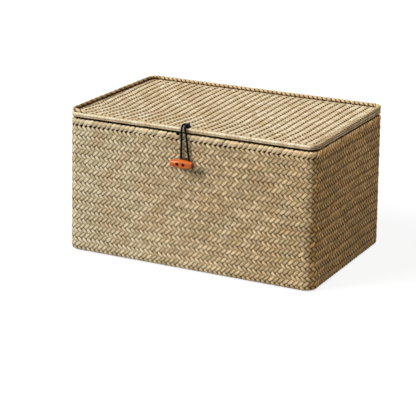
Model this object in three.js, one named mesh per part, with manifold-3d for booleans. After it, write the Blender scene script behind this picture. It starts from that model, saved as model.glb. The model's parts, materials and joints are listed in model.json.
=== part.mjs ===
// Woven lidded box: a plaited basket with a folded border, a ribbed lid tied on at the back,
// and a cord loop on the lid that hooks behind a wooden toggle on the front wall.
// Millimetres, +Z up. The origin is the centre of the underside, the front is at -Y.
import * as THREE from 'three';
import * as BufferGeometryUtils from 'three/addons/utils/BufferGeometryUtils.js';
import Module from 'manifold-3d';

// Whole box.
const boxLength = 200;
const boxDepth = 130;
const boxHeight = 110;
const cornerRadius = 10;
const pieceGap = 0.3;
const cutOverrun = 2;

// Basket: plaited walls and base in one piece.
const wallThickness = 2.6;
const baseThickness = 2.6;
const baseEdgeRadius = 3.5;
const floorEdgeRadius = 1;

// Folded border round the mouth, with a cane hoop inside its fold.
const borderProud = 0.4;
const borderHeight = 4.8;
const borderTopThickness = 1.2;
const borderEdgeSoftening = 0.6;
const hoopDiameter = 1.2;

// Lid: ribbed panel, two edge strands and a rope border that stands up at the back and left.
const lidSeatGap = 0.35;
const strandDiameter = 1.5;
const strandInset = 0.2;
const ropeHeight = 2.85;
const ropeWidth = 3.1;
const ropeInset = 0.1;
const ropeFrontShare = 0.22;
const ropeFadeLength = 20;
const panelEdgeThickness = 1.8;
const panelCrown = 0.55;
const panelShoulder = 0.6;

// Hinge ties: a loop of cord at each end of the back edge, and the knot that closes it.
const tieCordDiameter = 1.6;
const tieSpacing = 110;
const tieBendRadius = 1.7;
const tieDrop = 2.2;
const tieKnotDiameter = 2.4;
const tieKnotDrop = 3.6;

// Toggle, with two holes along Y and a planed facet round them.
const toggleLength = 19.5;
const toggleDiameter = 6.5;
const toggleEndDiameter = 4.5;
const toggleHoleDiameter = 2.3;
const toggleHoleSpacing = 5.4;
const toggleFacetDepth = 0.6;
const toggleShankSpread = 1.15;
const toggleDrop = 20.8;
const closureX = -1;

// Cord that carries the toggle, and its stopper knot inside the basket.
const toggleCordDiameter = 1.4;
const toggleCordPairSpacing = 1.44;
const toggleCordRecess = 0.45;
const toggleKnotDiameter = 3.8;

// Loop that closes the lid, and its knots.
const loopCordDiameter = 1.6;
const loopSlack = 0.68;
const loopStandoff = 0.6;
const loopEdgeBendRadius = 3.2;
const loopEdgeRise = 0.86;
const wrapKnotLength = 5.6;
const wrapKnotDepth = 3.2;
const wrapKnotHeight = 2.6;
const wrapKnotSetback = 3.6;
const stopperKnotDiameter = 2.4;
const stopperKnotOffset = 5.8;

// Fineness of the faceted forms.
const cornerSteps = 6;
const sideSteps = 10;
const edgeSteps = 4;
const strandSides = 8;
const cordSides = 8;
const loopSteps = 64;
const toggleCordSteps = 14;
const toggleSides = 24;

// Sizes and places worked out from the ones above.
const halfLength = boxLength / 2;
const halfDepth = boxDepth / 2;
const strandRadius = strandDiameter / 2;
const lidHeight = ropeHeight + 2 * strandDiameter + 2 * pieceGap;
const mouthHeight = boxHeight - lidHeight - lidSeatGap;
const borderThickness = borderProud + wallThickness;
const borderBottom = mouthHeight - borderHeight;
const wallTop = borderBottom - pieceGap;
const lowerStrandZ = mouthHeight + lidSeatGap + strandRadius;
const upperStrandZ = lowerStrandZ + strandDiameter + pieceGap;
const ropeBottom = upperStrandZ + strandRadius + pieceGap;
const panelTop = ropeBottom - pieceGap;
const panelBottom = panelTop - panelEdgeThickness;
const panelInset = strandInset + strandDiameter + pieceGap;
const panelCrownInset = ropeInset + ropeWidth + pieceGap;
const frontRopeTop = ropeBottom + ropeHeight * ropeFrontShare;
const innerFaceY = halfDepth - borderThickness;
const tieRadius = tieCordDiameter / 2;
const tieOuterY = halfDepth + pieceGap + tieRadius;
const tieInnerY = innerFaceY - pieceGap - tieRadius;
const tieBottomZ = borderBottom - tieDrop;
const tieTopZ = ropeBottom + tieRadius;
const loopRadius = loopCordDiameter / 2;
const toggleCordReach = (toggleCordPairSpacing + toggleCordDiameter) / 2;
const loopBendRadius = toggleCordReach + pieceGap + loopRadius + loopSlack;
const toggleRadius = toggleDiameter / 2;
const toggleStandoff = 2 * pieceGap + loopCordDiameter + toggleShankSpread;
const toggleY = -(halfDepth + toggleStandoff + toggleRadius);
const toggleZ = mouthHeight - toggleDrop;

const wasm = await Module();
wasm.setup();

// A geometry with shared vertices and no normals or uv, wound so that its faces point out.
function tidy(geometry) {
  const plain = new THREE.BufferGeometry();
  plain.setAttribute('position', geometry.getAttribute('position').clone());
  if (geometry.index) plain.setIndex(geometry.index.clone());
  const merged = BufferGeometryUtils.mergeVertices(plain);
  const place = merged.getAttribute('position');
  const index = merged.index.array;
  const a = new THREE.Vector3();
  const b = new THREE.Vector3();
  const c = new THREE.Vector3();
  let volume = 0;
  for (let i = 0; i < index.length; i += 3) {
    a.fromBufferAttribute(place, index[i]);
    b.fromBufferAttribute(place, index[i + 1]);
    c.fromBufferAttribute(place, index[i + 2]);
    volume += a.dot(b.cross(c));
  }
  if (volume < 0) {
    for (let i = 0; i < index.length; i += 3) {
      [index[i + 1], index[i + 2]] = [index[i + 2], index[i + 1]];
    }
  }
  return merged;
}

function toSolid(geometry) {
  const clean = tidy(geometry);
  const vertProperties = new Float32Array(clean.getAttribute('position').array);
  const triVerts = new Uint32Array(clean.index.array);
  return new wasm.Manifold(new wasm.Mesh({ numProp: 3, vertProperties, triVerts }));
}

function fromSolid(solid) {
  const mesh = solid.getMesh();
  const geometry = new THREE.BufferGeometry();
  geometry.setAttribute('position', new THREE.BufferAttribute(new Float32Array(mesh.vertProperties), 3));
  geometry.setIndex(new THREE.BufferAttribute(new Uint32Array(mesh.triVerts), 1));
  return geometry;
}

// The geometry left when each cutter is taken away from the body.
function cut(body, cutters) {
  return fromSolid(cutters.reduce((solid, cutter) => solid.subtract(toSolid(cutter)), toSolid(body)));
}

// Points of the box's plan, set in from its outside by inset, anticlockwise from the front right.
function planOutline(inset, straightSteps) {
  const radius = cornerRadius - inset;
  const x = halfLength - cornerRadius;
  const y = halfDepth - cornerRadius;
  const corners = [[x, -y, -1], [x, y, 0], [-x, y, 1], [-x, -y, 2]];
  const points = [];
  corners.forEach(([cx, cy, quarter], k) => {
    for (let i = 0; i <= cornerSteps; i += 1) {
      const angle = (quarter + i / cornerSteps) * Math.PI / 2;
      points.push(new THREE.Vector2(cx + radius * Math.cos(angle), cy + radius * Math.sin(angle)));
    }
    const [nx, ny, nextQuarter] = corners[(k + 1) % corners.length];
    const last = points[points.length - 1];
    const angle = nextQuarter * Math.PI / 2;
    const next = new THREE.Vector2(nx + radius * Math.cos(angle), ny + radius * Math.sin(angle));
    for (let i = 1; i < straightSteps; i += 1) {
      points.push(last.clone().lerp(next, i / straightSteps));
    }
  });
  return points;
}

// A solid whose section, given as places { inset, z }, runs round the plan of the box.
// A ring's section closes on itself. Otherwise flat faces close its first and last outlines.
function roundTheBox(section, { ring = true, straightSteps = 1, heightAt = (x, y, z) => z } = {}) {
  const positions = [];
  const indices = [];
  const outlines = section.map(({ inset }) => planOutline(inset, straightSteps));
  const count = outlines[0].length;
  outlines.forEach((outline, row) => {
    outline.forEach(({ x, y }) => positions.push(x, y, heightAt(x, y, section[row].z)));
  });
  const rows = ring ? section.length : section.length - 1;
  for (let row = 0; row < rows; row += 1) {
    const below = row * count;
    const above = ((row + 1) % section.length) * count;
    for (let i = 0; i < count; i += 1) {
      const j = (i + 1) % count;
      indices.push(below + i, below + j, above + j);
      indices.push(below + i, above + j, above + i);
    }
  }
  if (!ring) {
    const top = (section.length - 1) * count;
    THREE.ShapeUtils.triangulateShape(outlines[0], []).forEach(([a, b, c]) => indices.push(a, c, b));
    THREE.ShapeUtils.triangulateShape(outlines[section.length - 1], [])
      .forEach(([a, b, c]) => indices.push(top + a, top + b, top + c));
  }
  const geometry = new THREE.BufferGeometry();
  geometry.setAttribute('position', new THREE.Float32BufferAttribute(positions, 3));
  geometry.setIndex(indices);
  return tidy(geometry);
}

// An oval section for roundTheBox.
function ovalSection(insetCentre, zCentre, width, height) {
  return Array.from({ length: strandSides }, (_, i) => {
    const angle = (i + 0.5) / strandSides * 2 * Math.PI;
    return {
      inset: insetCentre - width / 2 * Math.cos(angle),
      z: zCentre + height / 2 * Math.sin(angle),
    };
  });
}

// A straight or curved cord through the given points, with flat ends.
function cordAlong(points, diameter, steps) {
  const section = new THREE.Shape();
  for (let i = 0; i < cordSides; i += 1) {
    const angle = i / cordSides * 2 * Math.PI;
    const x = diameter / 2 * Math.cos(angle);
    const y = diameter / 2 * Math.sin(angle);
    if (i === 0) section.moveTo(x, y);
    else section.lineTo(x, y);
  }
  section.closePath();
  const extrudePath = new THREE.CatmullRomCurve3(points, false, 'centripetal');
  return tidy(new THREE.ExtrudeGeometry(section, { steps, extrudePath, bevelEnabled: false }));
}

// A round knot: a sphere drawn out to the given length, depth and height.
function knot(length, depth, height) {
  const geometry = new THREE.IcosahedronGeometry(1, 2);
  geometry.scale(length / 2, depth / 2, height / 2);
  return tidy(geometry);
}

// A round rod along Y, used as a cutter.
function rodAlongY(diameter, length) {
  return new THREE.CylinderGeometry(diameter / 2, diameter / 2, length, toggleSides);
}

// The basket is a cup: up the outside, over the top edge and down to the floor inside.
function basketBody() {
  const section = [];
  for (let i = 0; i <= edgeSteps; i += 1) {
    const angle = i / edgeSteps * Math.PI / 2;
    section.push({
      inset: borderProud + baseEdgeRadius * (1 - Math.sin(angle)),
      z: baseEdgeRadius * (1 - Math.cos(angle)),
    });
  }
  section.push({ inset: borderProud, z: wallTop });
  section.push({ inset: borderThickness, z: wallTop });
  for (let i = 0; i <= edgeSteps; i += 1) {
    const angle = i / edgeSteps * Math.PI / 2;
    section.push({
      inset: borderThickness + floorEdgeRadius * (1 - Math.cos(angle)),
      z: baseThickness + floorEdgeRadius * (1 - Math.sin(angle)),
    });
  }
  const passage = rodAlongY(2 * (toggleCordReach + pieceGap), wallThickness + 2 * cutOverrun);
  passage.translate(closureX, -(innerFaceY + wallThickness / 2), toggleZ);
  return cut(roundTheBox(section, { ring: false }), [passage, ...tieClearances()]);
}

// The border is an upside-down channel that keeps the hoop in its fold.
function basketBorder() {
  const grooveWidth = hoopDiameter + 2 * pieceGap;
  const legThickness = (borderThickness - grooveWidth) / 2;
  const grooveTop = mouthHeight - borderTopThickness;
  const softening = Math.min(borderEdgeSoftening, borderTopThickness);
  return roundTheBox([
    { inset: 0, z: borderBottom },
    { inset: 0, z: mouthHeight - softening },
    { inset: softening, z: mouthHeight },
    { inset: borderThickness - softening, z: mouthHeight },
    { inset: borderThickness, z: mouthHeight - softening },
    { inset: borderThickness, z: borderBottom },
    { inset: borderThickness - legThickness, z: borderBottom },
    { inset: borderThickness - legThickness, z: grooveTop },
    { inset: legThickness, z: grooveTop },
    { inset: legThickness, z: borderBottom },
  ]);
}

function mouthHoop() {
  const z = mouthHeight - borderTopThickness - pieceGap - hoopDiameter / 2;
  return roundTheBox(ovalSection(borderThickness / 2, z, hoopDiameter, hoopDiameter));
}

// The panel's edge lies inside the strands and under the rope, and its middle stands higher.
function lidPanel() {
  const panel = roundTheBox([
    { inset: panelInset, z: panelBottom },
    { inset: panelInset, z: panelTop },
    { inset: panelCrownInset, z: panelTop },
    { inset: panelCrownInset + panelShoulder, z: panelTop + panelCrown },
  ], { ring: false });
  return cut(panel, tieClearances());
}

function edgeStrand(z) {
  return roundTheBox(ovalSection(strandInset + strandRadius, z, strandDiameter, strandDiameter));
}

// The rope stands at full height on the left and at the back, and sinks towards the front edge.
function ropeHeightAt(x, y, z) {
  const fromLeft = (x + halfLength - cornerRadius) / ropeFadeLength;
  const left = 1 - THREE.MathUtils.smoothstep(fromLeft, 0, 1);
  const towardsBack = THREE.MathUtils.clamp((y + halfDepth) / boxDepth, 0, 1);
  const share = ropeFrontShare + (1 - ropeFrontShare) * Math.max(left, towardsBack);
  return ropeBottom + (z - ropeBottom) * share;
}

function lidRimRope() {
  const section = ovalSection(
    ropeInset + ropeWidth / 2,
    ropeBottom + ropeHeight / 2,
    ropeWidth / Math.cos(Math.PI / strandSides),
    ropeHeight / Math.cos(Math.PI / strandSides),
  );
  const rope = roundTheBox(section, { straightSteps: sideSteps, heightAt: ropeHeightAt });
  return cut(rope, tieClearances());
}

// A closed loop of cord in a plane of constant x, round the border and the lid's lower edge.
function hingeTie(x, diameter) {
  const bend = tieBendRadius;
  const corners = [
    [tieOuterY - bend, tieTopZ - bend, 0],
    [tieInnerY + bend, tieTopZ - bend, 1],
    [tieInnerY + bend, tieBottomZ + bend, 2],
    [tieOuterY - bend, tieBottomZ + bend, 3],
  ];
  const positions = [];
  const indices = [];
  corners.forEach(([cy, cz, quarter]) => {
    for (let i = 0; i <= edgeSteps; i += 1) {
      const angle = (quarter + i / edgeSteps) * Math.PI / 2;
      for (let side = 0; side < cordSides; side += 1) {
        const turn = side / cordSides * 2 * Math.PI;
        const reach = bend + diameter / 2 * Math.cos(turn);
        positions.push(
          x + diameter / 2 * Math.sin(turn),
          cy + reach * Math.cos(angle),
          cz + reach * Math.sin(angle),
        );
      }
    }
  });
  const rings = corners.length * (edgeSteps + 1);
  for (let ring = 0; ring < rings; ring += 1) {
    const here = ring * cordSides;
    const next = ((ring + 1) % rings) * cordSides;
    for (let side = 0; side < cordSides; side += 1) {
      const beside = (side + 1) % cordSides;
      indices.push(here + side, here + beside, next + beside);
      indices.push(here + side, next + beside, next + side);
    }
  }
  const geometry = new THREE.BufferGeometry();
  geometry.setAttribute('position', new THREE.Float32BufferAttribute(positions, 3));
  geometry.setIndex(indices);
  return tidy(geometry);
}

function tieClearances() {
  return [-1, 1].map((side) => hingeTie(side * tieSpacing / 2, tieCordDiameter + 2 * pieceGap));
}

// The barrel is turned along X, with a round left end and a flat cut right end.
function toggleBarrel() {
  const endRadius = toggleEndDiameter / 2;
  const half = toggleLength / 2;
  const bulge = toggleRadius - endRadius;
  const profile = [new THREE.Vector2(0, -half)];
  for (let i = 1; i <= edgeSteps; i += 1) {
    const angle = i / edgeSteps * Math.PI / 2;
    profile.push(new THREE.Vector2(
      endRadius * Math.sin(angle),
      -half + endRadius / 2 * (1 - Math.cos(angle)),
    ));
  }
  const start = -half + endRadius / 2;
  const spanSteps = 2 * edgeSteps;
  for (let i = 1; i <= spanSteps; i += 1) {
    const share = i / spanSteps;
    profile.push(new THREE.Vector2(
      endRadius + bulge * Math.sin(share * Math.PI),
      start + (half - start) * share,
    ));
  }
  profile.push(new THREE.Vector2(0, half));
  const barrel = new THREE.LatheGeometry(profile, toggleSides);
  barrel.rotateZ(-Math.PI / 2);
  const facet = new THREE.BoxGeometry(toggleLength, toggleRadius, toggleDiameter + cutOverrun);
  facet.translate(0, toggleFacetDepth - toggleRadius - toggleRadius / 2, 0);
  const holes = [-1, 1].map((side) => {
    const hole = rodAlongY(toggleHoleDiameter, toggleDiameter + cutOverrun);
    hole.translate(side * toggleHoleSpacing / 2, 0, 0);
    return hole;
  });
  return cut(barrel, [facet, ...holes]);
}

// Two legs of cord leave the toggle's holes, close up to one another and pass through the wall.
function toggleCord() {
  const front = toggleFacetDepth + toggleCordRecess - toggleRadius;
  const wallFace = toggleRadius + toggleStandoff;
  const end = wallFace + borderThickness + pieceGap;
  const hole = toggleHoleSpacing / 2;
  const pair = toggleCordPairSpacing / 2;
  const legs = [-1, 1].map((side) => toSolid(cordAlong([
    new THREE.Vector3(side * hole, front, 0),
    new THREE.Vector3(side * hole, 0, 0),
    new THREE.Vector3(side * hole, toggleRadius - pieceGap, 0),
    new THREE.Vector3(side * (pair + hole) / 2, toggleRadius + toggleShankSpread / 2, 0),
    new THREE.Vector3(side * pair, toggleRadius + toggleShankSpread + pieceGap, 0),
    new THREE.Vector3(side * pair, wallFace, 0),
    new THREE.Vector3(side * pair, end, 0),
  ], toggleCordDiameter, toggleCordSteps)));
  return fromSolid(legs[0].add(legs[1]));
}

// The loop leaves the knot on the lid, bends round the lid's edge and runs down the front wall,
// round the toggle's cord and back up to the knot. Its strands draw together towards the knot:
// each stands to its side of the closure by a share of the radius of the bend at the toggle.
function closureLoop(knotCutter) {
  const onLid = frontRopeTop + loopEdgeRise + loopRadius;
  const onWall = -(halfDepth + loopStandoff + loopRadius);
  const knotY = wrapKnotSetback - halfDepth;
  const bendShares = [
    { turn: 0, leftShare: 0.82, rightShare: -0.28 },
    { turn: 1 / 3, leftShare: 0.88, rightShare: -0.24 },
    { turn: 2 / 3, leftShare: 0.92, rightShare: -0.14 },
    { turn: 1, leftShare: 0.94, rightShare: 0.02 },
  ];
  const stations = [
    { y: knotY, z: onLid, leftShare: 0.68, rightShare: -0.28 },
    ...bendShares.map(({ turn, leftShare, rightShare }) => ({
      y: onWall + loopEdgeBendRadius * (1 - Math.sin(turn * Math.PI / 2)),
      z: onLid - loopEdgeBendRadius * (1 - Math.cos(turn * Math.PI / 2)),
      leftShare,
      rightShare,
    })),
    { y: onWall, z: mouthHeight, leftShare: 0.94, rightShare: 0.22 },
    { y: onWall, z: borderBottom, leftShare: 0.95, rightShare: 0.42 },
    { y: onWall, z: (borderBottom + toggleZ) / 2, leftShare: 0.98, rightShare: 0.74 },
    { y: onWall, z: toggleZ + toggleRadius, leftShare: 1, rightShare: 0.96 },
  ];
  const points = stations.map(({ y, z, leftShare }) => (
    new THREE.Vector3(closureX - loopBendRadius * leftShare, y, z)
  ));
  for (let i = 0; i <= edgeSteps; i += 1) {
    const angle = i / edgeSteps * Math.PI;
    points.push(new THREE.Vector3(
      closureX - loopBendRadius * Math.cos(angle),
      onWall,
      toggleZ - loopBendRadius * Math.sin(angle),
    ));
  }
  stations.reverse().forEach(({ y, z, rightShare }) => {
    points.push(new THREE.Vector3(closureX + loopBendRadius * rightShare, y, z));
  });
  return cut(cordAlong(points, loopCordDiameter, loopSteps), [knotCutter]);
}

function finish(color, roughness) {
  return new THREE.MeshStandardMaterial({ color, roughness, metalness: 0 });
}

function piece(name, geometry, material) {
  geometry.computeVertexNormals();
  const mesh = new THREE.Mesh(geometry, material);
  mesh.name = name;
  return mesh;
}

const basket = new THREE.Group();
basket.add(piece('basket_body', basketBody(), finish(0xb39c73, 0.75)));
basket.add(piece('basket_border', basketBorder(), finish(0xc2ab82, 0.72)));
basket.add(piece('mouth_hoop', mouthHoop(), finish(0xb98f56, 0.6)));
[['left', -1], ['right', 1]].forEach(([name, side]) => {
  const x = side * tieSpacing / 2;
  const tieKnot = piece(
    `hinge_tie_knot_${name}`,
    knot(tieKnotDiameter, tieKnotDiameter, tieKnotDiameter),
    finish(0xa88e63, 0.8),
  );
  tieKnot.position.set(
    x,
    tieInnerY - tieRadius - pieceGap - tieKnotDiameter / 2,
    mouthHeight - tieKnotDrop,
  );
  basket.add(piece(`hinge_tie_${name}`, hingeTie(x, tieCordDiameter), finish(0xa88e63, 0.8)));
  basket.add(tieKnot);
});

const lid = new THREE.Group();
lid.add(piece('lid_panel', lidPanel(), finish(0xd9c7a0, 0.7)));
lid.add(piece('lid_rim_rope', lidRimRope(), finish(0xc9b48a, 0.7)));
lid.add(piece('lid_edge_strand_upper', edgeStrand(upperStrandZ), finish(0xc2ab82, 0.7)));
lid.add(piece('lid_edge_strand_lower', edgeStrand(lowerStrandZ), finish(0xb09a70, 0.7)));
const wrapKnotPlace = new THREE.Vector3(
  closureX,
  wrapKnotSetback - halfDepth,
  panelTop + panelCrown + pieceGap + wrapKnotHeight / 2,
);
const knotClearance = knot(
  wrapKnotLength + 2 * pieceGap,
  wrapKnotDepth + 2 * pieceGap,
  wrapKnotHeight + 2 * pieceGap,
);
knotClearance.translate(wrapKnotPlace.x, wrapKnotPlace.y, wrapKnotPlace.z);
lid.add(piece('closure_loop', closureLoop(knotClearance), finish(0x14171a, 0.5)));
const wrapKnot = piece(
  'loop_wrap_knot',
  knot(wrapKnotLength, wrapKnotDepth, wrapKnotHeight),
  finish(0x14171a, 0.5),
);
wrapKnot.position.copy(wrapKnotPlace);
const stopperKnot = piece(
  'loop_stopper_knot',
  knot(stopperKnotDiameter, stopperKnotDiameter, stopperKnotDiameter),
  finish(0x14171a, 0.5),
);
stopperKnot.position.set(
  closureX - stopperKnotOffset,
  -(halfDepth + pieceGap + stopperKnotDiameter / 2),
  mouthHeight + lidSeatGap / 2,
);
lid.add(wrapKnot, stopperKnot);

const toggleGroup = new THREE.Group();
toggleGroup.position.set(closureX, toggleY, toggleZ);
toggleGroup.add(piece('toggle', toggleBarrel(), finish(0xc4571a, 0.35)));
toggleGroup.add(piece('toggle_cord', toggleCord(), finish(0x1b211c, 0.6)));
const cordKnot = piece(
  'toggle_cord_knot',
  knot(toggleKnotDiameter, toggleKnotDiameter, toggleKnotDiameter),
  finish(0x1b211c, 0.6),
);
cordKnot.position.y = -toggleY - innerFaceY + 2 * pieceGap + toggleKnotDiameter / 2;
toggleGroup.add(cordKnot);

const box = new THREE.Group();
box.add(basket, lid, toggleGroup);

export default box;
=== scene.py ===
"""Woven lidded box: plaited seagrass basket and lid, a black cord loop and a wooden toggle.

Metres, +Z up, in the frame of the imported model: the front is at -Y and the hinge at +Y.
"""

import json
import logging
import math
from collections.abc import Callable
from dataclasses import dataclass
from enum import Enum

import bpy
import numpy as np
from mathutils import Matrix, Vector


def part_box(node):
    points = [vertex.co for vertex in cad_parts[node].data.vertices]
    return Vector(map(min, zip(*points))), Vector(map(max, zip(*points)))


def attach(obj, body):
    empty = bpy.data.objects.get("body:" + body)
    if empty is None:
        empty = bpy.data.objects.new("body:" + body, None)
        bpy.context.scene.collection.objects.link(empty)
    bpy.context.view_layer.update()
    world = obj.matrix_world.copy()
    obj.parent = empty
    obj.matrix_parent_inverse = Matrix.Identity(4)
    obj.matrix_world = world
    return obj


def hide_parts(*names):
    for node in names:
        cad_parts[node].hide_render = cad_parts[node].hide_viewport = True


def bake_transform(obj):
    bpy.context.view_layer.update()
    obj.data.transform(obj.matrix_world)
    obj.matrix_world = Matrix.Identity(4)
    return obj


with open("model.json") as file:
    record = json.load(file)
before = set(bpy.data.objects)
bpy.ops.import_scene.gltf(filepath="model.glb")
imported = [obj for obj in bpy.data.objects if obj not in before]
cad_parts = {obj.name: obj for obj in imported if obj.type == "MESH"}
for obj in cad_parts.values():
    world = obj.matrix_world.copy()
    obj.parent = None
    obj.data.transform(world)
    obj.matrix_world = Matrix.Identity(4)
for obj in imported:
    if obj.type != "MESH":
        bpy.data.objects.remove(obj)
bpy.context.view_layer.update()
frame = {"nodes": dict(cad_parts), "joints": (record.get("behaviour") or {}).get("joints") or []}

LOG = logging.getLogger("woven_box")
Array = np.ndarray
Colour = tuple[float, float, float]
Point = tuple[float, float, float]
Shares = tuple[float, ...]
Strip = tuple[Array, Array, Array, Array, float]
Sway = Callable[[Array, Array], tuple[Array, Array]]
FIBRE_MAP = "Fibre"
BAKE_MAP = "OFBake"
# Point attributes: tone, depth of painted shade, and browning that on the shaded walls is painted
# shade.
TONE = "tone"
PAINTED_SHADE = "tuck"
BROWNING_AND_SHADE = "age"
SHARP_EDGE = math.radians(44)
MIN_RINGS = 6
SPARE_LEVELS = 12
LEAST_GAP = 1e-6
LEAST_SIDE = 0.1

# The levels in a band of a plait, how far a row of holes is below level 0, the places of the
# rings in the lower half of a band, and the least gap between two rings, all in levels.
BAND = 4
HOLES_BELOW = 0.5
HALF_BAND = (0.0, 0.2, 0.45, 0.8, 1.25, 1.65)
RING_GAP = 0.1

# How far the unit curve of an overhand knot reaches along X and along Y.
KNOT_LENGTH = 2.7
KNOT_WIDTH = 3.0

# Socket types of the node groups, and socket numbers of the colour Mix node.
NUMBER = "NodeSocketFloat"
COLOUR = "NodeSocketColor"
VECTOR = "NodeSocketVector"
MIX_SHARE = 0
MIX_LOW = 6
MIX_HIGH = 7
MIX_RESULT = 2


class Body(Enum):
    """The bodies that pieces ride on."""

    BASKET = "basket"
    LID = "lid"
    LOOP = "loop"
    TOGGLE = "toggle"


class Slot(Enum):
    """The record's material slots."""

    PLAIT = "plaited_seagrass"
    RIBS = "ribbed_seagrass"
    CORD = "seagrass_cord"
    CANE = "cane"
    BLACK = "black_cord"
    WOOD = "toggle_wood"


class Lean(Enum):
    """Which way a strip climbs across the levels of a plait."""

    RISING = 1
    FALLING = -1


class Side(Enum):
    """The box's sides, in the order of the walk round it."""

    FRONT = "front"
    RIGHT = "right"
    BACK = "back"
    LEFT = "left"


def joint_place(name: str) -> Array:
    """The point that a joint of the record turns about, in metres."""
    return np.array([joint["pos_m"] for joint in frame["joints"] if joint["name"] == name][0])


def node_box(node: str) -> tuple[Array, Array]:
    """The low and the high corner of a CAD node's box."""
    low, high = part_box(node)
    return np.array(low), np.array(high)


def put_in_scene(name: str, data: bpy.types.ID) -> bpy.types.Object:
    """Makes an object of some data, and links it to the scene.

    Args:
        name: The object's name.
        data: Its mesh, camera or lamp.

    Returns:
        The new object.
    """
    made = bpy.data.objects.new(name, data)
    bpy.context.scene.collection.objects.link(made)
    return made


def smoothstep(low: float, high: float, value: Array) -> Array:
    """The height, at each value, of a soft step from 0 at low to 1 at high."""
    share = np.clip((value - low) / (high - low), 0.0, 1.0)
    return share * share * (3.0 - 2.0 * share)


def smooth_route(points: Array, step: float) -> Array:
    """Samples the centripetal Catmull-Rom curve through some points.

    Args:
        points: The points to pass through.
        step: The distance between samples.

    Returns:
        The samples, first and last point included.
    """
    first = 2 * points[0] - points[1]
    last = 2 * points[-1] - points[-2]
    knots = np.vstack([first, points, last])
    samples = []
    for before, start, end, after in zip(knots, knots[1:], knots[2:], knots[3:]):
        gaps = [math.sqrt(np.linalg.norm(b - a)) for a, b in
                ((before, start), (start, end), (end, after))]
        leave = (start - before) / gaps[0] - (end - before) / (gaps[0] + gaps[1])
        leave = (leave + (end - start) / gaps[1]) * gaps[1]
        arrive = (end - start) / gaps[1] - (after - start) / (gaps[1] + gaps[2])
        arrive = (arrive + (after - end) / gaps[2]) * gaps[1]
        count = max(2, round(np.linalg.norm(end - start) / step))
        share = (np.arange(count) / count)[:, None]
        samples.append(
            (2 * share**3 - 3 * share**2 + 1) * start + (share**3 - 2 * share**2 + share) * leave
            + (3 * share**2 - 2 * share**3) * end + (share**3 - share**2) * arrive
        )
    return np.vstack([*samples, points[-1:]])


def overhand_path(low: Array, high: Array, radius: float, steps: int) -> Array:
    """The closed centre line of an overhand knot that fills a box.

    Args:
        low: The box's low corner.
        high: Its high corner.
        radius: The radius of the knot's cord.
        steps: How many points to give.

    Returns:
        The points.
    """
    turn = np.linspace(0.0, 2 * np.pi, steps, endpoint=False)
    reach = (high - low) / 2 - radius
    return (low + high) / 2 + np.stack([
        reach[0] * (np.sin(turn) + 2 * np.sin(2 * turn)) / KNOT_LENGTH,
        reach[1] * (np.cos(turn) - 2 * np.cos(2 * turn)) / KNOT_WIDTH,
        -reach[2] * np.sin(3 * turn),
    ], axis=-1)


def ring_angles(sides: int) -> Array:
    """Evenly spaced angles round a ring, from 0."""
    return np.arange(sides) / sides * 2 * np.pi


def run_of(path: Array) -> Array:
    """Distance walked along a path at each of its points."""
    return np.concatenate([[0.0], np.cumsum(np.linalg.norm(np.diff(path, axis=0), axis=1))])


def path_frames(path: Array, closed: bool) -> tuple[Array, Array]:
    """Two directions across a path at each point, carried along it without twist.

    Args:
        path: The points of the path.
        closed: Whether its last point leads back to its first.

    Returns:
        The two directions, both square to the path and to each other.
    """
    if closed:
        ahead = np.roll(path, -1, axis=0) - np.roll(path, 1, axis=0)
    else:
        ahead = np.gradient(path, axis=0)
    ahead = ahead / np.linalg.norm(ahead, axis=1)[:, None]
    side = np.cross(ahead[0], (0.0, 0.0, 1.0))
    if np.linalg.norm(side) < LEAST_SIDE:
        side = np.cross(ahead[0], (1.0, 0.0, 0.0))
    sides = []
    for direction in ahead:
        side = side - direction * np.dot(side, direction)
        side = side / np.linalg.norm(side)
        sides.append(side)
    sides = np.array(sides)
    ups = np.cross(sides, ahead)
    if closed:
        carried = sides[-1] - ahead[0] * np.dot(sides[-1], ahead[0])
        slip = math.atan2(np.dot(carried, ups[0]), np.dot(carried, sides[0]))
        turn = -slip * (np.arange(len(path)) / len(path))[:, None]
        sides, ups = (
            sides * np.cos(turn) + ups * np.sin(turn),
            ups * np.cos(turn) - sides * np.sin(turn),
        )
    return sides, ups


def tube_rings(path: Array, radius: Array | float, sides: int, closed: bool = False) -> Array:
    """Rings of a round tube along a path.

    Args:
        path: The centre line.
        radius: One radius, one for each point, or one for each point and side.
        sides: The points in each ring.
        closed: Whether the tube closes on itself.

    Returns:
        The rings, as an array of points, sides and coordinates.
    """
    across, up = path_frames(path, closed)
    angle = ring_angles(sides)
    spread = np.asarray(radius, float)
    spread = spread[:, None] if spread.ndim == 1 else spread
    spread = np.broadcast_to(spread, (len(path), sides))[..., None]
    turned = (
        across[:, None, :] * np.cos(angle)[None, :, None]
        + up[:, None, :] * np.sin(angle)[None, :, None]
    )
    return path[:, None, :] + spread * turned


def corner_map(low: Array, high: Array, left: Array, right: Array, shape: tuple) -> Array:
    """A map of a grid of faces, from the limits of each row and of each column."""
    corners = ((low, left), (low, right), (high, right), (high, left))
    return np.stack([
        np.stack([np.broadcast_to(value, shape) for value in corner], axis=-1) for corner in corners
    ], axis=-2)


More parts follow.
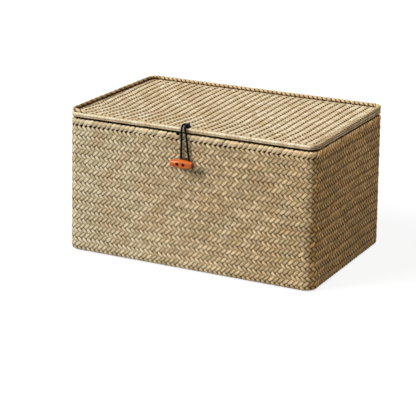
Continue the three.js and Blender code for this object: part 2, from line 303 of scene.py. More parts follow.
class LoftMesh:
    """Collects lofts, each a run of rings, and makes one object of them."""

    def __init__(self, name: str) -> None:
        """Starts an empty mesh of that name."""
        self.name = name
        self.points: list[Array] = []
        self.faces: list[Array] = []
        self.fibre: list[Array] = []
        self.bake: list[Array] = []
        self.tone: list[Array] = []
        self.tuck: list[Array] = []
        self.age: list[Array] = []
        self.band_count = 0
        self.point_count = 0

    def add(
        self,
        rings: Array,
        closed: bool = False,
        tone: Array | float = 0.5,
        tuck: Array | float = 0.0,
        age: Array | float = 0.0,
        folds: int = 1,
    ) -> None:
        """Adds one loft, with flat ends where it isn't closed.

        Args:
            rings: The points, as an array of rings, sides and coordinates.
            closed: Whether the last ring leads back to the first.
            tone: How light the loft is, from 0 to 1, for each ring and side if need be.
            tuck: How deep the shade painted on it is, from 0 to 1, in the same way: painted shade where
                it goes under, between parts and in creases.
            age: How browned it is, from 0 to 1, in the same way; on the box's right and back this
                browning is painted shade.
            folds: The rows that the loft's bake map is folded into.
        """
        count, sides = rings.shape[:2]
        spans = count if closed else count - 1
        row = np.arange(spans)[:, None]
        column = np.arange(sides)[None, :]
        beside = (column + 1) % sides
        above = (row + 1) % count
        quads = np.stack([
            row * sides + column,
            row * sides + beside,
            above * sides + beside,
            above * sides + column,
        ], axis=-1)
        flat = rings.reshape(-1, 3)
        corners = flat[quads[spans // 2]]
        normals = np.cross(corners[:, 1] - corners[:, 0], corners[:, 3] - corners[:, 0])
        outward = corners.mean(axis=1) - corners.mean(axis=(0, 1))
        flip = (normals * outward).sum() < 0
        middle = rings.mean(axis=1)
        along = run_of(np.vstack([middle, middle[:1]]) if closed else middle)
        across = run_of(np.vstack([rings[0], rings[0][:1]]))
        shape = (spans, sides)
        fibre = corner_map(along[:-1, None], along[1:, None], across[:-1], across[1:], shape)
        per_fold = math.ceil(spans / folds)
        fold = row // per_fold
        inside = (row - fold * per_fold) / per_fold
        band = self.band_count + fold
        left, right = band + column / sides, band + (column + 1) / sides
        bake = corner_map(inside, inside + 1.0 / per_fold, left, right, shape)
        self.band_count += folds
        faces = [quads.reshape(-1, 4)]
        fibres = [fibre.reshape(-1, 4, 2)]
        bakes = [bake.reshape(-1, 4, 2)]
        if not closed:
            for ring, span, order in (
                (0, 0, np.arange(sides)[::-1]),
                (count - 1, spans - 1, np.arange(sides)),
            ):
                faces.append((ring * sides + order)[None, :])
                fibres.append(np.stack([np.full(sides, along[ring]), across[order]], axis=-1)[None])
                bakes.append(np.stack([
                    np.full(sides, (span % per_fold + (ring > 0)) / per_fold),
                    self.band_count - folds + span // per_fold + order / sides,
                ], axis=-1)[None])
        for face, uv, bake_uv in zip(faces, fibres, bakes):
            if flip:
                face, uv, bake_uv = face[:, ::-1], uv[:, ::-1], bake_uv[:, ::-1]
            self.faces.append(face + self.point_count)
            self.fibre.append(uv)
            self.bake.append(bake_uv)
        self.points.append(flat)
        for values, value in ((self.tone, tone), (self.tuck, tuck), (self.age, age)):
            values.append(np.broadcast_to(np.asarray(value, float), (count, sides)).ravel())
        self.point_count += len(flat)

    def build(self, material: bpy.types.Material) -> bpy.types.Object:
        """Makes the object.

        Args:
            material: The finish of the whole piece.

        Returns:
            The new object, linked to the scene.
        """
        mesh = bpy.data.meshes.new(self.name)
        points = np.concatenate(self.points).astype(np.float32)
        mesh.vertices.add(len(points))
        mesh.vertices.foreach_set("co", points.ravel())
        corner_index = np.concatenate([face.ravel() for face in self.faces]).astype(np.int32)
        totals = np.concatenate([np.full(len(face), face.shape[1]) for face in self.faces])
        starts = np.concatenate([[0], np.cumsum(totals)[:-1]]).astype(np.int32)
        mesh.loops.add(len(corner_index))
        mesh.loops.foreach_set("vertex_index", corner_index)
        mesh.polygons.add(len(starts))
        mesh.polygons.foreach_set("loop_start", starts)
        mesh.update(calc_edges=True)
        mesh.shade_smooth()
        mesh.set_sharp_from_angle(angle=SHARP_EDGE)
        fibre = np.concatenate([uv.reshape(-1, 2) for uv in self.fibre])
        bake = np.concatenate([uv.reshape(-1, 2) for uv in self.bake])
        bake = bake / (1.0, float(self.band_count))
        for name, values in ((FIBRE_MAP, fibre), (BAKE_MAP, bake)):
            layer = mesh.uv_layers.new(name=name)
            layer.data.foreach_set("uv", values.astype(np.float32).ravel())
        for name, values in ((TONE, self.tone), (PAINTED_SHADE, self.tuck), (BROWNING_AND_SHADE, self.age)):
            attribute = mesh.attributes.new(name, "FLOAT", "POINT")
            attribute.data.foreach_set("value", np.concatenate(values).astype(np.float32))
        mesh.validate()
        piece = put_in_scene(self.name, mesh)
        mesh.materials.append(material)
        return piece


def settle(piece: bpy.types.Object, body: Body, slot: Slot, *nodes: str) -> None:
    """Rides a finished piece on its body, and enters it."""
    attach(piece, body.value)
    enter(piece, slot, *nodes)


def enter(piece: bpy.types.Object, slot: Slot, *nodes: str) -> None:
    """Hides the CAD nodes that a piece stands for, and reports the piece.

    Args:
        piece: The piece, which rides on its body already or has its place baked into its mesh.
        slot: The record's slot that it takes its finish from; not used.
        nodes: The CAD nodes that it stands for.
    """
    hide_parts(*nodes)
    LOG.info("%s: %d faces", piece.name, len(piece.data.polygons))


@dataclass(frozen=True)
class Plan:
    """The box's plan, a rectangle with round corners, walked anticlockwise along its outside.

    The walk starts at the left end of the front's straight and first runs towards +X.
    """

    half_length: float = 0.100
    half_depth: float = 0.065
    corner: float = 0.008
    wall_start: float = 0.006
    wall_full: float = 0.001
    front_edge_y: float = -0.0615
    front_edge_fade: float = 0.0055

    @property
    def straights(self) -> tuple[float, float]:
        """Lengths of the straight stretches of the front and of a side."""
        return 2 * (self.half_length - self.corner), 2 * (self.half_depth - self.corner)

    @property
    def perimeter(self) -> float:
        """Length of the whole walk."""
        return 2 * sum(self.straights) + 2 * math.pi * self.corner

    def walk_at_front(self, x: float) -> float:
        """The walk's distance at a place x on the front."""
        return x + self.half_length - self.corner

    def place(self, walk: Array, inset: Array | float, height: Array | float) -> Array:
        """Points at given distances round the box.

        Args:
            walk: The distances along the outside, any number of rounds.
            inset: How far inside the outside each point lies.
            height: The height of each point.

        Returns:
            The points, with their coordinates in the last axis.
        """
        walk, inset, height = np.broadcast_arrays(walk, inset, height)
        arc = self.corner * math.pi / 2
        front, side = self.straights
        bounds = np.cumsum([0.0, front, arc, side, arc, front, arc, side])
        walk = np.mod(walk, self.perimeter)
        stretch = np.clip(np.searchsorted(bounds, walk, side="right") - 1, 0, 7)
        quarter = stretch // 2
        on_corner = stretch % 2 == 1
        local = walk - bounds[stretch]
        angle = quarter * math.pi / 2 + np.where(on_corner, local / self.corner, 0.0)
        ahead = np.where(on_corner, 0.0, local)
        centre = np.where(on_corner, quarter, (quarter - 1) % 4)
        x = np.array([1, 1, -1, -1])[centre] * (self.half_length - self.corner)
        y = np.array([-1, 1, 1, -1])[centre] * (self.half_depth - self.corner)
        reach = self.corner - inset
        return np.stack([
            x + reach * np.sin(angle) + ahead * np.cos(angle),
            y - reach * np.cos(angle) + ahead * np.sin(angle),
            height,
        ], axis=-1)

    def outline_gap(self, x: Array, y: Array) -> Array:
        """How far inside the outline each point lies, negative outside it."""
        reach_x = np.abs(x) - (self.half_length - self.corner)
        reach_y = np.abs(y) - (self.half_depth - self.corner)
        outside = np.hypot(np.maximum(reach_x, 0.0), np.maximum(reach_y, 0.0))
        return self.corner - outside - np.minimum(np.maximum(reach_x, reach_y), 0.0)

    def share_along(self, points: Array) -> Array:
        """Where each point lies between the left end, 0, and the right end, 1."""
        return 0.5 + points[..., 0] / (2 * self.half_length)

    def on_right(self, points: Array) -> Array:
        """How far each point belongs to the right wall, from 0 to 1."""
        half = self.half_length
        return smoothstep(half - self.wall_start, half - self.wall_full, points[..., 0])

    def on_back(self, points: Array) -> Array:
        """How far each point belongs to the back wall, from 0 to 1."""
        half = self.half_depth
        return smoothstep(half - self.wall_start, half - self.wall_full, points[..., 1])

    def at_front(self, points: Array) -> Array:
        """How far each point belongs to the lid's front edge, from 0 to 1."""
        end = self.front_edge_y + self.front_edge_fade
        return 1 - smoothstep(self.front_edge_y, end, points[..., 1])


@dataclass(frozen=True)
class Twill:
    """An over-two-under-two plait of strips that lean both ways.

    Strips of one lean stand two lanes apart along a level, and pass one lane a level. A band of
    four levels holds a row of rising floats and, over it, a row of falling floats. Where the lower
    end of a rising float meets the falling floats under it, the strips pinch round a hole that is
    painted dark as shade. Painted shade also darkens each strip where it goes under, round each
    float and along its edges.
    """

    lane: float
    level: float
    amplitude: float = 0.00050
    crown: float = 0.00025
    underside: float = 0.00035
    groove_depth: float = 0.00012
    groove_power: float = 0.30
    wave_sharpness: float = 2.1
    falling_share: float = 0.75
    climb_levels: float = 1.5
    nick_share: float = 0.14
    nick_reach: float = 0.32
    nick_start: float = 0.14
    nick_shade: float = 0.95
    width_play_share: float = 0.05
    amplitude_play_share: float = 0.16
    painted_shade_start: float = -0.25
    painted_shade_end: float = 0.75
    end_shade: float = 0.0
    end_start: float = 1.5
    end_levels: float = 0.8
    end_middle_share: float = 0.55
    end_tilt: float = 0.9
    right_edge_shade: float = 0.20
    left_edge_shade: float = 0.24
    edge_start: float = 0.28
    round_start: float = 0.25
    round_end: float = 1.30
    round_length: float = 1.7
    round_shade: float = 0.66

    @property
    def strip_width(self) -> float:
        """Width of one strip."""
        return 2 * self.lane * self.level / math.hypot(self.lane, self.level)

    @staticmethod
    def levels(low: float, high: float) -> Array:
        """Levels at which a strip needs a ring, closest together at the row of holes.

        Args:
            low: The strip's first level.
            high: Its last level.

        Returns:
            The levels, both ends included.
        """
        half = np.array(HALF_BAND)
        band = np.concatenate([half, [BAND / 2], BAND - half[:0:-1]]) - HOLES_BELOW
        first = math.floor((low + HOLES_BELOW) / BAND)
        last = math.ceil((high + HOLES_BELOW) / BAND)
        every = (band + BAND * np.arange(first, last)[:, None]).ravel()
        inner = every[(every > low + RING_GAP) & (every < high - RING_GAP)]
        return np.concatenate([[low], inner, [high]])

    @staticmethod
    def in_band(level: Array) -> Array:
        """Distance above the row of holes below, from 0 to a whole band."""
        return np.mod(level + HOLES_BELOW, BAND)

    def wave(self, level: Array) -> Array:
        """Height of the rising strips over the middle of the plait, from -1 to 1."""
        swing = np.sin(self.in_band(level) * np.pi / 2)
        return np.tanh(self.wave_sharpness * swing) / math.tanh(self.wave_sharpness)

    def band_rise(self, level: Array) -> Array:
        """How high the band stands over its groove at each level, from 0 to 1."""
        return np.abs(np.sin(self.in_band(level) * np.pi / 4)) ** self.groove_power

    def section(self) -> tuple[Array, Array]:
        """A strip's section: places across, as shares of its width, and heights."""
        across = np.array([-0.5, -0.42, -0.2, 0.2, 0.42, 0.5, 0.38, -0.38])
        low = -self.underside
        high = self.crown
        up = np.array([0.0, 0.75 * high, high, high, 0.75 * high, 0.0, low, low])
        return across, up

    def nick(self, lean: Lean, band: Array, across: Array) -> Array:
        """How near each point of a strip is to a hole of the plait, from 0 to 1.

        Args:
            lean: Which way the strip leans.
            band: Each ring's distance above the row of holes below, in levels.
            across: Places across the strip, as shares of its width.

        Returns:
            The nearness, for each ring and place across.
        """
        right = smoothstep(self.nick_start, 0.5, across)
        left = smoothstep(self.nick_start, 0.5, -across)
        end = np.exp(-((np.minimum(band, BAND - band) / self.nick_reach) ** 2))[:, None]
        inner = np.exp(-(((band - 3) / self.nick_reach) ** 2))[:, None]
        if lean is Lean.RISING:
            return np.maximum(end * right, inner * left)
        return np.maximum(end * left, inner * right)

    def tuck(self, lean: Lean, band: Array, lift: Array, nick: Array) -> Array:
        """How deep the shade painted on each point of a strip is, from 0 to 1.

        Args:
            lean: Which way the strip leans.
            band: Each ring's distance above the row of holes below, in levels.
            lift: Each ring's height over the middle of the plait.
            nick: How near each point is to a hole.

        Returns:
            The painted shade, for each ring and place across.
        """
        across, up = self.section()
        # Painted shade where the strip dips under the strips across it.
        under = smoothstep(self.painted_shade_start, self.painted_shade_end, -lift)
        tuck = np.broadcast_to(under[:, None], nick.shape)
        # Painted shade at the lower end of each falling float, deeper on its right side.
        if lean is Lean.FALLING:
            dive = 1 - smoothstep(0.0, self.end_levels, band - 2)
            dive = np.where(band > self.end_start, dive, 0.0)[:, None]
            dive = dive * (self.end_middle_share + self.end_tilt * across)
            tuck = np.maximum(tuck, self.end_shade * dive)
        # Painted shading round each float, darker away from its middle, for its rounded relief.
        from_middle = (band - 2 + lean.value)[:, None] / self.round_length
        rounded = smoothstep(self.round_start, self.round_end, np.hypot(from_middle, 2 * across))
        tuck = np.maximum(tuck, self.round_shade * rounded)
        # Painted shade in the holes of the plait.
        tuck = np.maximum(tuck, self.nick_shade * nick)
        # Painted shade along both edges of the strip.
        right = self.right_edge_shade * smoothstep(self.edge_start, 0.5, across)
        left = self.left_edge_shade * smoothstep(self.edge_start, 0.5, -across)
        tuck = np.maximum(tuck, right + left)
        # On the inner side, painted shade where the strip goes under as seen from inside.
        over = smoothstep(self.painted_shade_start, self.painted_shade_end, lift)
        return np.where(up < 0, over[:, None], tuck)

    def strip(self, number: int, lean: Lean, levels: Array, draw: np.random.Generator) -> Strip:
        """One strip of the plait.

        Args:
            number: The strip's number, counted along level 0.
            lean: Which way it leans.
            levels: The levels at which it has a ring.
            draw: Where its chance differences come from.

        Returns:
            Place along the level, place across the levels, height and painted shade of each point
            of each ring, and the strip's tone.
        """
        way = lean.value
        slope = math.hypot(self.lane, self.level)
        width = self.strip_width * (1 + self.width_play_share * draw.uniform(-1, 1))
        lift = way * (1 + self.amplitude_play_share * draw.uniform(-1, 1)) * self.wave(levels)
        band = self.in_band(levels)
        if lean is Lean.FALLING:
            climb = smoothstep(0.0, self.climb_levels, band - 2)
            climb = self.falling_share + (1 - self.falling_share) * climb
            lift = np.where(band > 2, lift * climb, lift)
        across, up = self.section()
        nick = self.nick(lean, band, across)
        offset = across * width * (1 - self.nick_share * nick)
        along_level = (2 * number + way * levels[:, None]) * self.lane
        along_level = along_level + offset * self.level / slope
        across_levels = levels[:, None] * self.level - way * offset * self.lane / slope
        rise = self.band_rise(across_levels / self.level) - 1
        height = lift[:, None] * self.amplitude + up + self.groove_depth * rise
        tuck = self.tuck(lean, band, lift, nick)
        return along_level, across_levels, height, tuck, draw.uniform(0, 1)


@dataclass(frozen=True)
class Ripple:
    """A wave in the lay of a plait: its size, its pitches along and across, and its start."""

    size: float
    along: float
    across: float = 0.0
    start: float = 0.0


def rippled(
    value: Array | float, ripples: tuple[Ripple, ...], along: Array, across: Array | float = 0.0
) -> Array:
    """Adds ripples to a value.

    Args:
        value: The value without them.
        ripples: The ripples.
        along: Places along the plait.
        across: Places across it.

    Returns:
        The rippled value.
    """
    for ripple in ripples:
        turn = ripple.along * along + ripple.across * across + ripple.start
        value = value + ripple.size * np.sin(turn)
    return value


@dataclass(frozen=True)
class Patches:
    """Soft patches: the scale and detail of their noise, and the values where they start and end."""

    scale: float
    detail: float
    low: float
    high: float


class Graph:
    """A node tree with short calls to place and join its nodes."""

    def __init__(self, tree: bpy.types.NodeTree) -> None:
        """Takes the tree to work on."""
        self.tree = tree

    def add(self, kind: str, inputs: dict | None = None, **settings: object) -> bpy.types.Node:
        """Places a node.

        Args:
            kind: The node's type.
            inputs: For input sockets, by name or number, a value or the socket to join.
            settings: The node's own settings.

        Returns:
            The new node.
        """
        node = self.tree.nodes.new(kind)
        for name, value in settings.items():
            setattr(node, name, value)
        self.feed(node, inputs or {})
        return node

    def feed(self, node: bpy.types.Node, inputs: dict) -> None:
        """Sets a node's inputs, or joins them where the value is a socket.

        Args:
            node: The node.
            inputs: For its input sockets, by name or number, a value or the socket to join.
        """
        for name, value in inputs.items():
            if isinstance(value, bpy.types.NodeSocket):
                self.tree.links.new(value, node.inputs[name])
            else:
                node.inputs[name].default_value = value

    def math(self, operation: str, *values: object, clamp: bool = False) -> bpy.types.NodeSocket:
        """A Math node's result."""
        inputs = dict(enumerate(values))
        return self.add("ShaderNodeMath", inputs, operation=operation, use_clamp=clamp).outputs[0]

    def vector(self, operation: str, left: object, right: object) -> bpy.types.NodeSocket:
        """A Vector Math node's result."""
        return self.add("ShaderNodeVectorMath", {0: left, 1: right}, operation=operation).outputs[0]

    def mix(self, share: object, low: object, high: object) -> bpy.types.NodeSocket:
        """A colour mix's result."""
        colours = {MIX_SHARE: share, MIX_LOW: low, MIX_HIGH: high}
        return self.add("ShaderNodeMix", colours, data_type="RGBA").outputs[MIX_RESULT]

    def noise(self, vector: object, scale: float, detail: float) -> bpy.types.NodeSocket:
        """A noise texture's value."""
        node = self.add("ShaderNodeTexNoise", {"Vector": vector, "Scale": scale, "Detail": detail})
        return node.outputs["Fac"]

    def ramp(self, value: object, low: object, high: object) -> bpy.types.NodeSocket:
        """A value stretched so that low becomes 0 and high becomes 1."""
        limits = {"Value": value, "From Min": low, "From Max": high}
        node = self.add("ShaderNodeMapRange", limits, interpolation_type="SMOOTHSTEP")
        return node.outputs["Result"]

    def patches(self, vector: object, look: Patches) -> bpy.types.NodeSocket:
        """A mask of soft patches."""
        return self.ramp(self.noise(vector, look.scale, look.detail), look.low, look.high)

    def bump(self, height: object, strength: float, distance: float) -> bpy.types.NodeSocket:
        """The normal of a surface that a height raises."""
        inputs = {"Height": height, "Strength": strength, "Distance": distance}
        return self.add("ShaderNodeBump", inputs).outputs[0]


def fresh_graph(owner: bpy.types.Material | bpy.types.World) -> Graph:
    """Turns on the nodes of a material or a world, and clears them."""
    owner.use_nodes = True
    owner.node_tree.nodes.clear()
    return Graph(owner.node_tree)


def rgba(colour: Colour) -> tuple[float, float, float, float]:
    """A colour with full opacity."""
    return (*colour, 1.0)


class FinishGroups:
    """The shader node groups that several finishes use, each made once."""

    FINE_SCALE = 2.7
    COARSE_SHARE = 0.65
    STREAK_LOW = 0.36
    STREAK_HIGH = 0.64
    STREAK_PLAY = 0.8
    WARM = Patches(70.0, 2.0, 0.50, 0.66)
    WARM_SHARE = 0.40
    GREEN = Patches(45.0, 2.0, 0.54, 0.68)
    GREEN_SHARE = 0.35
    GREEN_SHIFT = (0.37, 0.11, 0.23)
    BLOTCH = Patches(190.0, 3.0, 0.30, 0.62)
    BLOTCH_SHARE = 0.5
    BROWNED_SHADE_TONE_SHARE = 0.95
    BROWNED_SHADE_LEAST = 0.55
    PAINTED_SHADE_POWER = 2.0
    PAINTED_SHADE_DEPTH = 0.9

    def __init__(self) -> None:
        """Makes the groups."""
        self.fibres = self._fibres()
        self.straw = self._straw()

    @staticmethod
    def _new(
        name: str, inputs: dict[str, str], outputs: dict[str, str]
    ) -> tuple[Graph, bpy.types.NodeOutputs, bpy.types.Node]:
        """Starts a group.

        Args:
            name: The group's name.
            inputs: Its input names and socket types.
            outputs: Its output names and socket types.

        Returns:
            The group's graph, the sockets that bring its inputs, and its output node.
        """
        tree = bpy.data.node_groups.new(name, "ShaderNodeTree")
        for way, sockets in (("INPUT", inputs), ("OUTPUT", outputs)):
            for socket, kind in sockets.items():
                tree.interface.new_socket(name=socket, in_out=way, socket_type=kind)
        graph = Graph(tree)
        return graph, graph.add("NodeGroupInput").outputs, graph.add("NodeGroupOutput")

    def _fibres(self) -> bpy.types.NodeTree:
        """Fine streaks along a strip, from its fibre map.

        Returns:
            The group, with the streaks' mask and their height.
        """
        graph, entry, result = self._new(
            "grass_fibres",
            {"Vector": VECTOR, "Along": NUMBER, "Across": NUMBER},
            {"Streaks": NUMBER, "Height": NUMBER},
        )
        scale = {"X": entry["Along"], "Y": entry["Across"], "Z": 1.0}
        scale = graph.add("ShaderNodeCombineXYZ", scale).outputs[0]
        stretched = graph.vector("MULTIPLY", entry["Vector"], scale)
        coarse = graph.math("MULTIPLY", graph.noise(stretched, 1.0, 3.0), self.COARSE_SHARE)
        fine = graph.noise(stretched, self.FINE_SCALE, 2.0)
        height = graph.math("ADD", coarse, graph.math("MULTIPLY", fine, 1.0 - self.COARSE_SHARE))
        streaks = graph.ramp(height, self.STREAK_LOW, self.STREAK_HIGH)
        graph.feed(result, {"Streaks": streaks, "Height": height})
        return graph.tree

    def _straw(self) -> bpy.types.NodeTree:
        """Colour of dry grass from its tone, the shade painted on it, its browning, its streaks and the
        place.

        Returns:
            The group, with the colour.
        """
        numbers = ("Tone", "Tuck", "Age", "Streaks")
        colours = ("Pale", "Straw", "Warm", "Green", "Aged", "Brown")
        inputs = {"Place": VECTOR, **dict.fromkeys(numbers, NUMBER), **dict.fromkeys(colours, COLOUR)}
        graph, entry, result = self._new("dry_straw", inputs, {"Color": COLOUR})
        place = entry["Place"]
        wander = graph.math("SUBTRACT", entry["Streaks"], 0.5)
        wander = graph.math("MULTIPLY", wander, self.STREAK_PLAY)
        light = graph.math("ADD", entry["Tone"], wander, clamp=True)
        blend = graph.mix(light, entry["Straw"], entry["Pale"])
        warm = graph.math("MULTIPLY", graph.patches(place, self.WARM), self.WARM_SHARE)
        blend = graph.mix(warm, blend, entry["Warm"])
        moved = graph.vector("ADD", place, self.GREEN_SHIFT)
        green = graph.math("MULTIPLY", graph.patches(moved, self.GREEN), self.GREEN_SHARE)
        blend = graph.mix(green, blend, entry["Green"])
        blotch = graph.patches(place, self.BLOTCH)
        blotch = graph.math("MULTIPLY_ADD", blotch, self.BLOTCH_SHARE, 1.0 - self.BLOTCH_SHARE)
        # Browning, which on the shaded walls is painted shade, follows the strip's tone and comes in
        # patches.
        own = graph.math("MULTIPLY_ADD", light, self.BROWNED_SHADE_TONE_SHARE, self.BROWNED_SHADE_LEAST)
        toned = graph.vector("MULTIPLY", entry["Aged"], own)
        blend = graph.mix(graph.math("MULTIPLY", entry["Age"], blotch), blend, toned)
        # Painted shade: the colour darkens towards the shade brown as the painted shade deepens.
        depth = graph.math("POWER", entry["Tuck"], self.PAINTED_SHADE_POWER)
        depth = graph.math("MULTIPLY", depth, self.PAINTED_SHADE_DEPTH)
        shade = graph.add("ShaderNodeGamma", {"Color": entry["Brown"], "Gamma": depth})
        graph.feed(result, {"Color": graph.vector("MULTIPLY", blend, shade.outputs[0])})
        return graph.tree


def new_material(name: str) -> tuple[bpy.types.Material, Graph, bpy.types.Node]:
    """Starts a material with a Principled shader.

    Args:
        name: The material's name.

    Returns:
        The material, its graph and its shader node.
    """
    material = bpy.data.materials.new(name)
    graph = fresh_graph(material)
    shader = graph.add("ShaderNodeBsdfPrincipled")
    graph.add("ShaderNodeOutputMaterial", {"Surface": shader.outputs[0]})
    return material, graph, shader


def place_fibres(graph: Graph, groups: FinishGroups, along: float, across: float) -> bpy.types.Node:
    """Places the group of fine streaks in a material.

    Args:
        graph: The material's graph.
        groups: The shared node groups.
        along: The streaks' scale along a strip.
        across: Their scale across it.

    Returns:
        The group's node.
    """
    fibre_map = graph.add("ShaderNodeUVMap", uv_map=FIBRE_MAP).outputs[0]
    inputs = {"Vector": fibre_map, "Along": along, "Across": across}
    return graph.add("ShaderNodeGroup", inputs, node_tree=groups.fibres)


@dataclass(frozen=True)
class SeagrassFinish:
    """Dry seagrass, from straw to browned, with fine fibres along each strip and shade painted on it.
    """

    name: str
    pale: Colour
    straw: Colour
    warm: Colour
    green: Colour
    aged: Colour
    brown: Colour
    fibres_along: float = 110.0
    fibres_across: float = 2000.0
    roughness: float = 0.62
    specular: float = 0.14
    relief: float = 0.00018

    def material(self, groups: FinishGroups) -> bpy.types.Material:
        """Makes the material.

        Args:
            groups: The shared node groups.

        Returns:
            The material.
        """
        material, graph, shader = new_material(self.name)
        fibre = place_fibres(graph, groups, self.fibres_along, self.fibres_across).outputs
        straw = graph.add("ShaderNodeGroup", node_tree=groups.straw)
        place = graph.add("ShaderNodeTexCoord").outputs["Object"]
        graph.feed(straw, {"Place": place, "Streaks": fibre["Streaks"]})
        for socket, attribute in (("Tone", TONE), ("Tuck", PAINTED_SHADE), ("Age", BROWNING_AND_SHADE)):
            node = graph.add("ShaderNodeAttribute", attribute_name=attribute)
            graph.feed(straw, {socket: node.outputs["Fac"]})
        graph.feed(straw, {
            "Pale": rgba(self.pale), "Straw": rgba(self.straw), "Warm": rgba(self.warm),
            "Green": rgba(self.green), "Aged": rgba(self.aged), "Brown": rgba(self.brown),
        })
        graph.feed(shader, {
            "Base Color": straw.outputs["Color"],
            "Roughness": self.roughness,
            "Specular IOR Level": self.specular,
            "Normal": graph.bump(fibre["Height"], 1.0, self.relief),
        })
        return material


@dataclass(frozen=True)
class BlackCordFinish:
    """Black braided cord with a faint cool gloss."""

    name: str = "black_cord"
    dark: Colour = (0.002, 0.0022, 0.0026)
    light: Colour = (0.007, 0.0085, 0.011)
    fibres_along: float = 1500.0
    fibres_across: float = 5000.0
    roughness: float = 0.45
    specular: float = 0.06
    relief: float = 0.00006

    def material(self, groups: FinishGroups) -> bpy.types.Material:
        """Makes the material.

        Args:
            groups: The shared node groups.

        Returns:
            The material.
        """
        material, graph, shader = new_material(self.name)
        fibre = place_fibres(graph, groups, self.fibres_along, self.fibres_across).outputs
        graph.feed(shader, {
            "Base Color": graph.mix(fibre["Streaks"], rgba(self.dark), rgba(self.light)),
            "Roughness": self.roughness,
            "Specular IOR Level": self.specular,
            "Normal": graph.bump(fibre["Height"], 1.0, self.relief),
        })
        return material


@dataclass(frozen=True)
class LacquerFinish:
    """Turned wood under an orange lacquer, with the grain showing along its length."""

    name: str = "orange_lacquered_wood"
    light: Colour = (0.70, 0.155, 0.008)
    dark: Colour = (0.46, 0.075, 0.004)
    cut_end: Colour = (0.10, 0.022, 0.008)
    cut_end_width: float = 0.0012
    cut_end_share: float = 0.85
    grain_stretch: Point = (90.0, 1400.0, 1400.0)
    grain: Patches = Patches(1.0, 3.0, 0.38, 0.66)
    grain_strength: float = 0.6
    grain_relief: float = 0.00008
    roughness: float = 0.30
    specular: float = 0.3
    coat: float = 0.2
    coat_roughness: float = 0.16

    def material(self, end: float) -> bpy.types.Material:
        """Makes the material.

        Args:
            end: The place along X of the toggle's cut end.

        Returns:
            The material.
        """
        material, graph, shader = new_material(self.name)
        place = graph.add("ShaderNodeTexCoord").outputs["Object"]
        grain = graph.patches(graph.vector("MULTIPLY", place, self.grain_stretch), self.grain)
        along = graph.add("ShaderNodeSeparateXYZ", {0: place}).outputs[0]
        cut = graph.ramp(along, end - self.cut_end_width, end)
        colour = graph.mix(grain, rgba(self.dark), rgba(self.light))
        colour = graph.mix(graph.math("MULTIPLY", cut, self.cut_end_share), colour, rgba(self.cut_end))
        graph.feed(shader, {
            "Base Color": colour,
            "Roughness": self.roughness,
            "Specular IOR Level": self.specular,
            "Coat Weight": self.coat,
            "Coat Roughness": self.coat_roughness,
            "Normal": graph.bump(grain, self.grain_strength, self.grain_relief),
        })
        return material


@dataclass(frozen=True)
class CaneFinish:
    """Split cane with a fine grain."""

    name: str = "split_cane"
    light: Colour = (0.55, 0.39, 0.19)
    dark: Colour = (0.30, 0.18, 0.08)
    grain: Patches = Patches(900.0, 3.0, 0.35, 0.65)
    roughness: float = 0.5

    def material(self) -> bpy.types.Material:
        """Makes the material."""
        material, graph, shader = new_material(self.name)
        grain = graph.patches(graph.add("ShaderNodeTexCoord").outputs["Object"], self.grain)
        colour = graph.mix(grain, rgba(self.dark), rgba(self.light))
        graph.feed(shader, {"Base Color": colour, "Roughness": self.roughness})
        return material


class Finishes:
    """Every finish of the box, made once."""

    def __init__(self, toggle_end: float) -> None:
        """Makes the materials.

        Args:
            toggle_end: The place along X of the toggle's cut end.
        """
        groups = FinishGroups()
        self.plait = SeagrassFinish(
            "plaited_seagrass",
            pale=(0.86, 0.75, 0.52), straw=(0.55, 0.435, 0.250), warm=(0.59, 0.40, 0.22),
            green=(0.55, 0.48, 0.28), aged=(0.78, 0.43, 0.125), brown=(0.016, 0.010, 0.006),
        ).material(groups)
        self.lid = SeagrassFinish(
            "lid_seagrass",
            pale=(0.93, 0.84, 0.63), straw=(0.64, 0.49, 0.27), warm=(0.62, 0.43, 0.23),
            green=(0.60, 0.51, 0.30), aged=(0.36, 0.20, 0.08), brown=(0.050, 0.023, 0.008),
        ).material(groups)
        self.rim = SeagrassFinish(
            "rim_seagrass",
            pale=(0.72, 0.58, 0.36), straw=(0.56, 0.41, 0.22), warm=(0.56, 0.40, 0.22),
            green=(0.50, 0.40, 0.22), aged=(0.40, 0.24, 0.09), brown=(0.06, 0.026, 0.009),
            fibres_along=140.0,
        ).material(groups)
        self.cord = SeagrassFinish(
            "rolled_seagrass",
            pale=(0.60, 0.49, 0.31), straw=(0.42, 0.31, 0.17), warm=(0.44, 0.29, 0.17),
            green=(0.40, 0.36, 0.20), aged=(0.36, 0.21, 0.09), brown=(0.12, 0.06, 0.025),
            fibres_along=140.0,
        ).material(groups)
        self.black = BlackCordFinish().material(groups)
        self.wood = LacquerFinish().material(toggle_end)
        self.cane = CaneFinish().material()


@dataclass(frozen=True)
class Lamp:
    """A far lamp: where it shines from, its level on a surface that faces it, and its width."""

    name: str
    source: Point
    level: float
    width: float


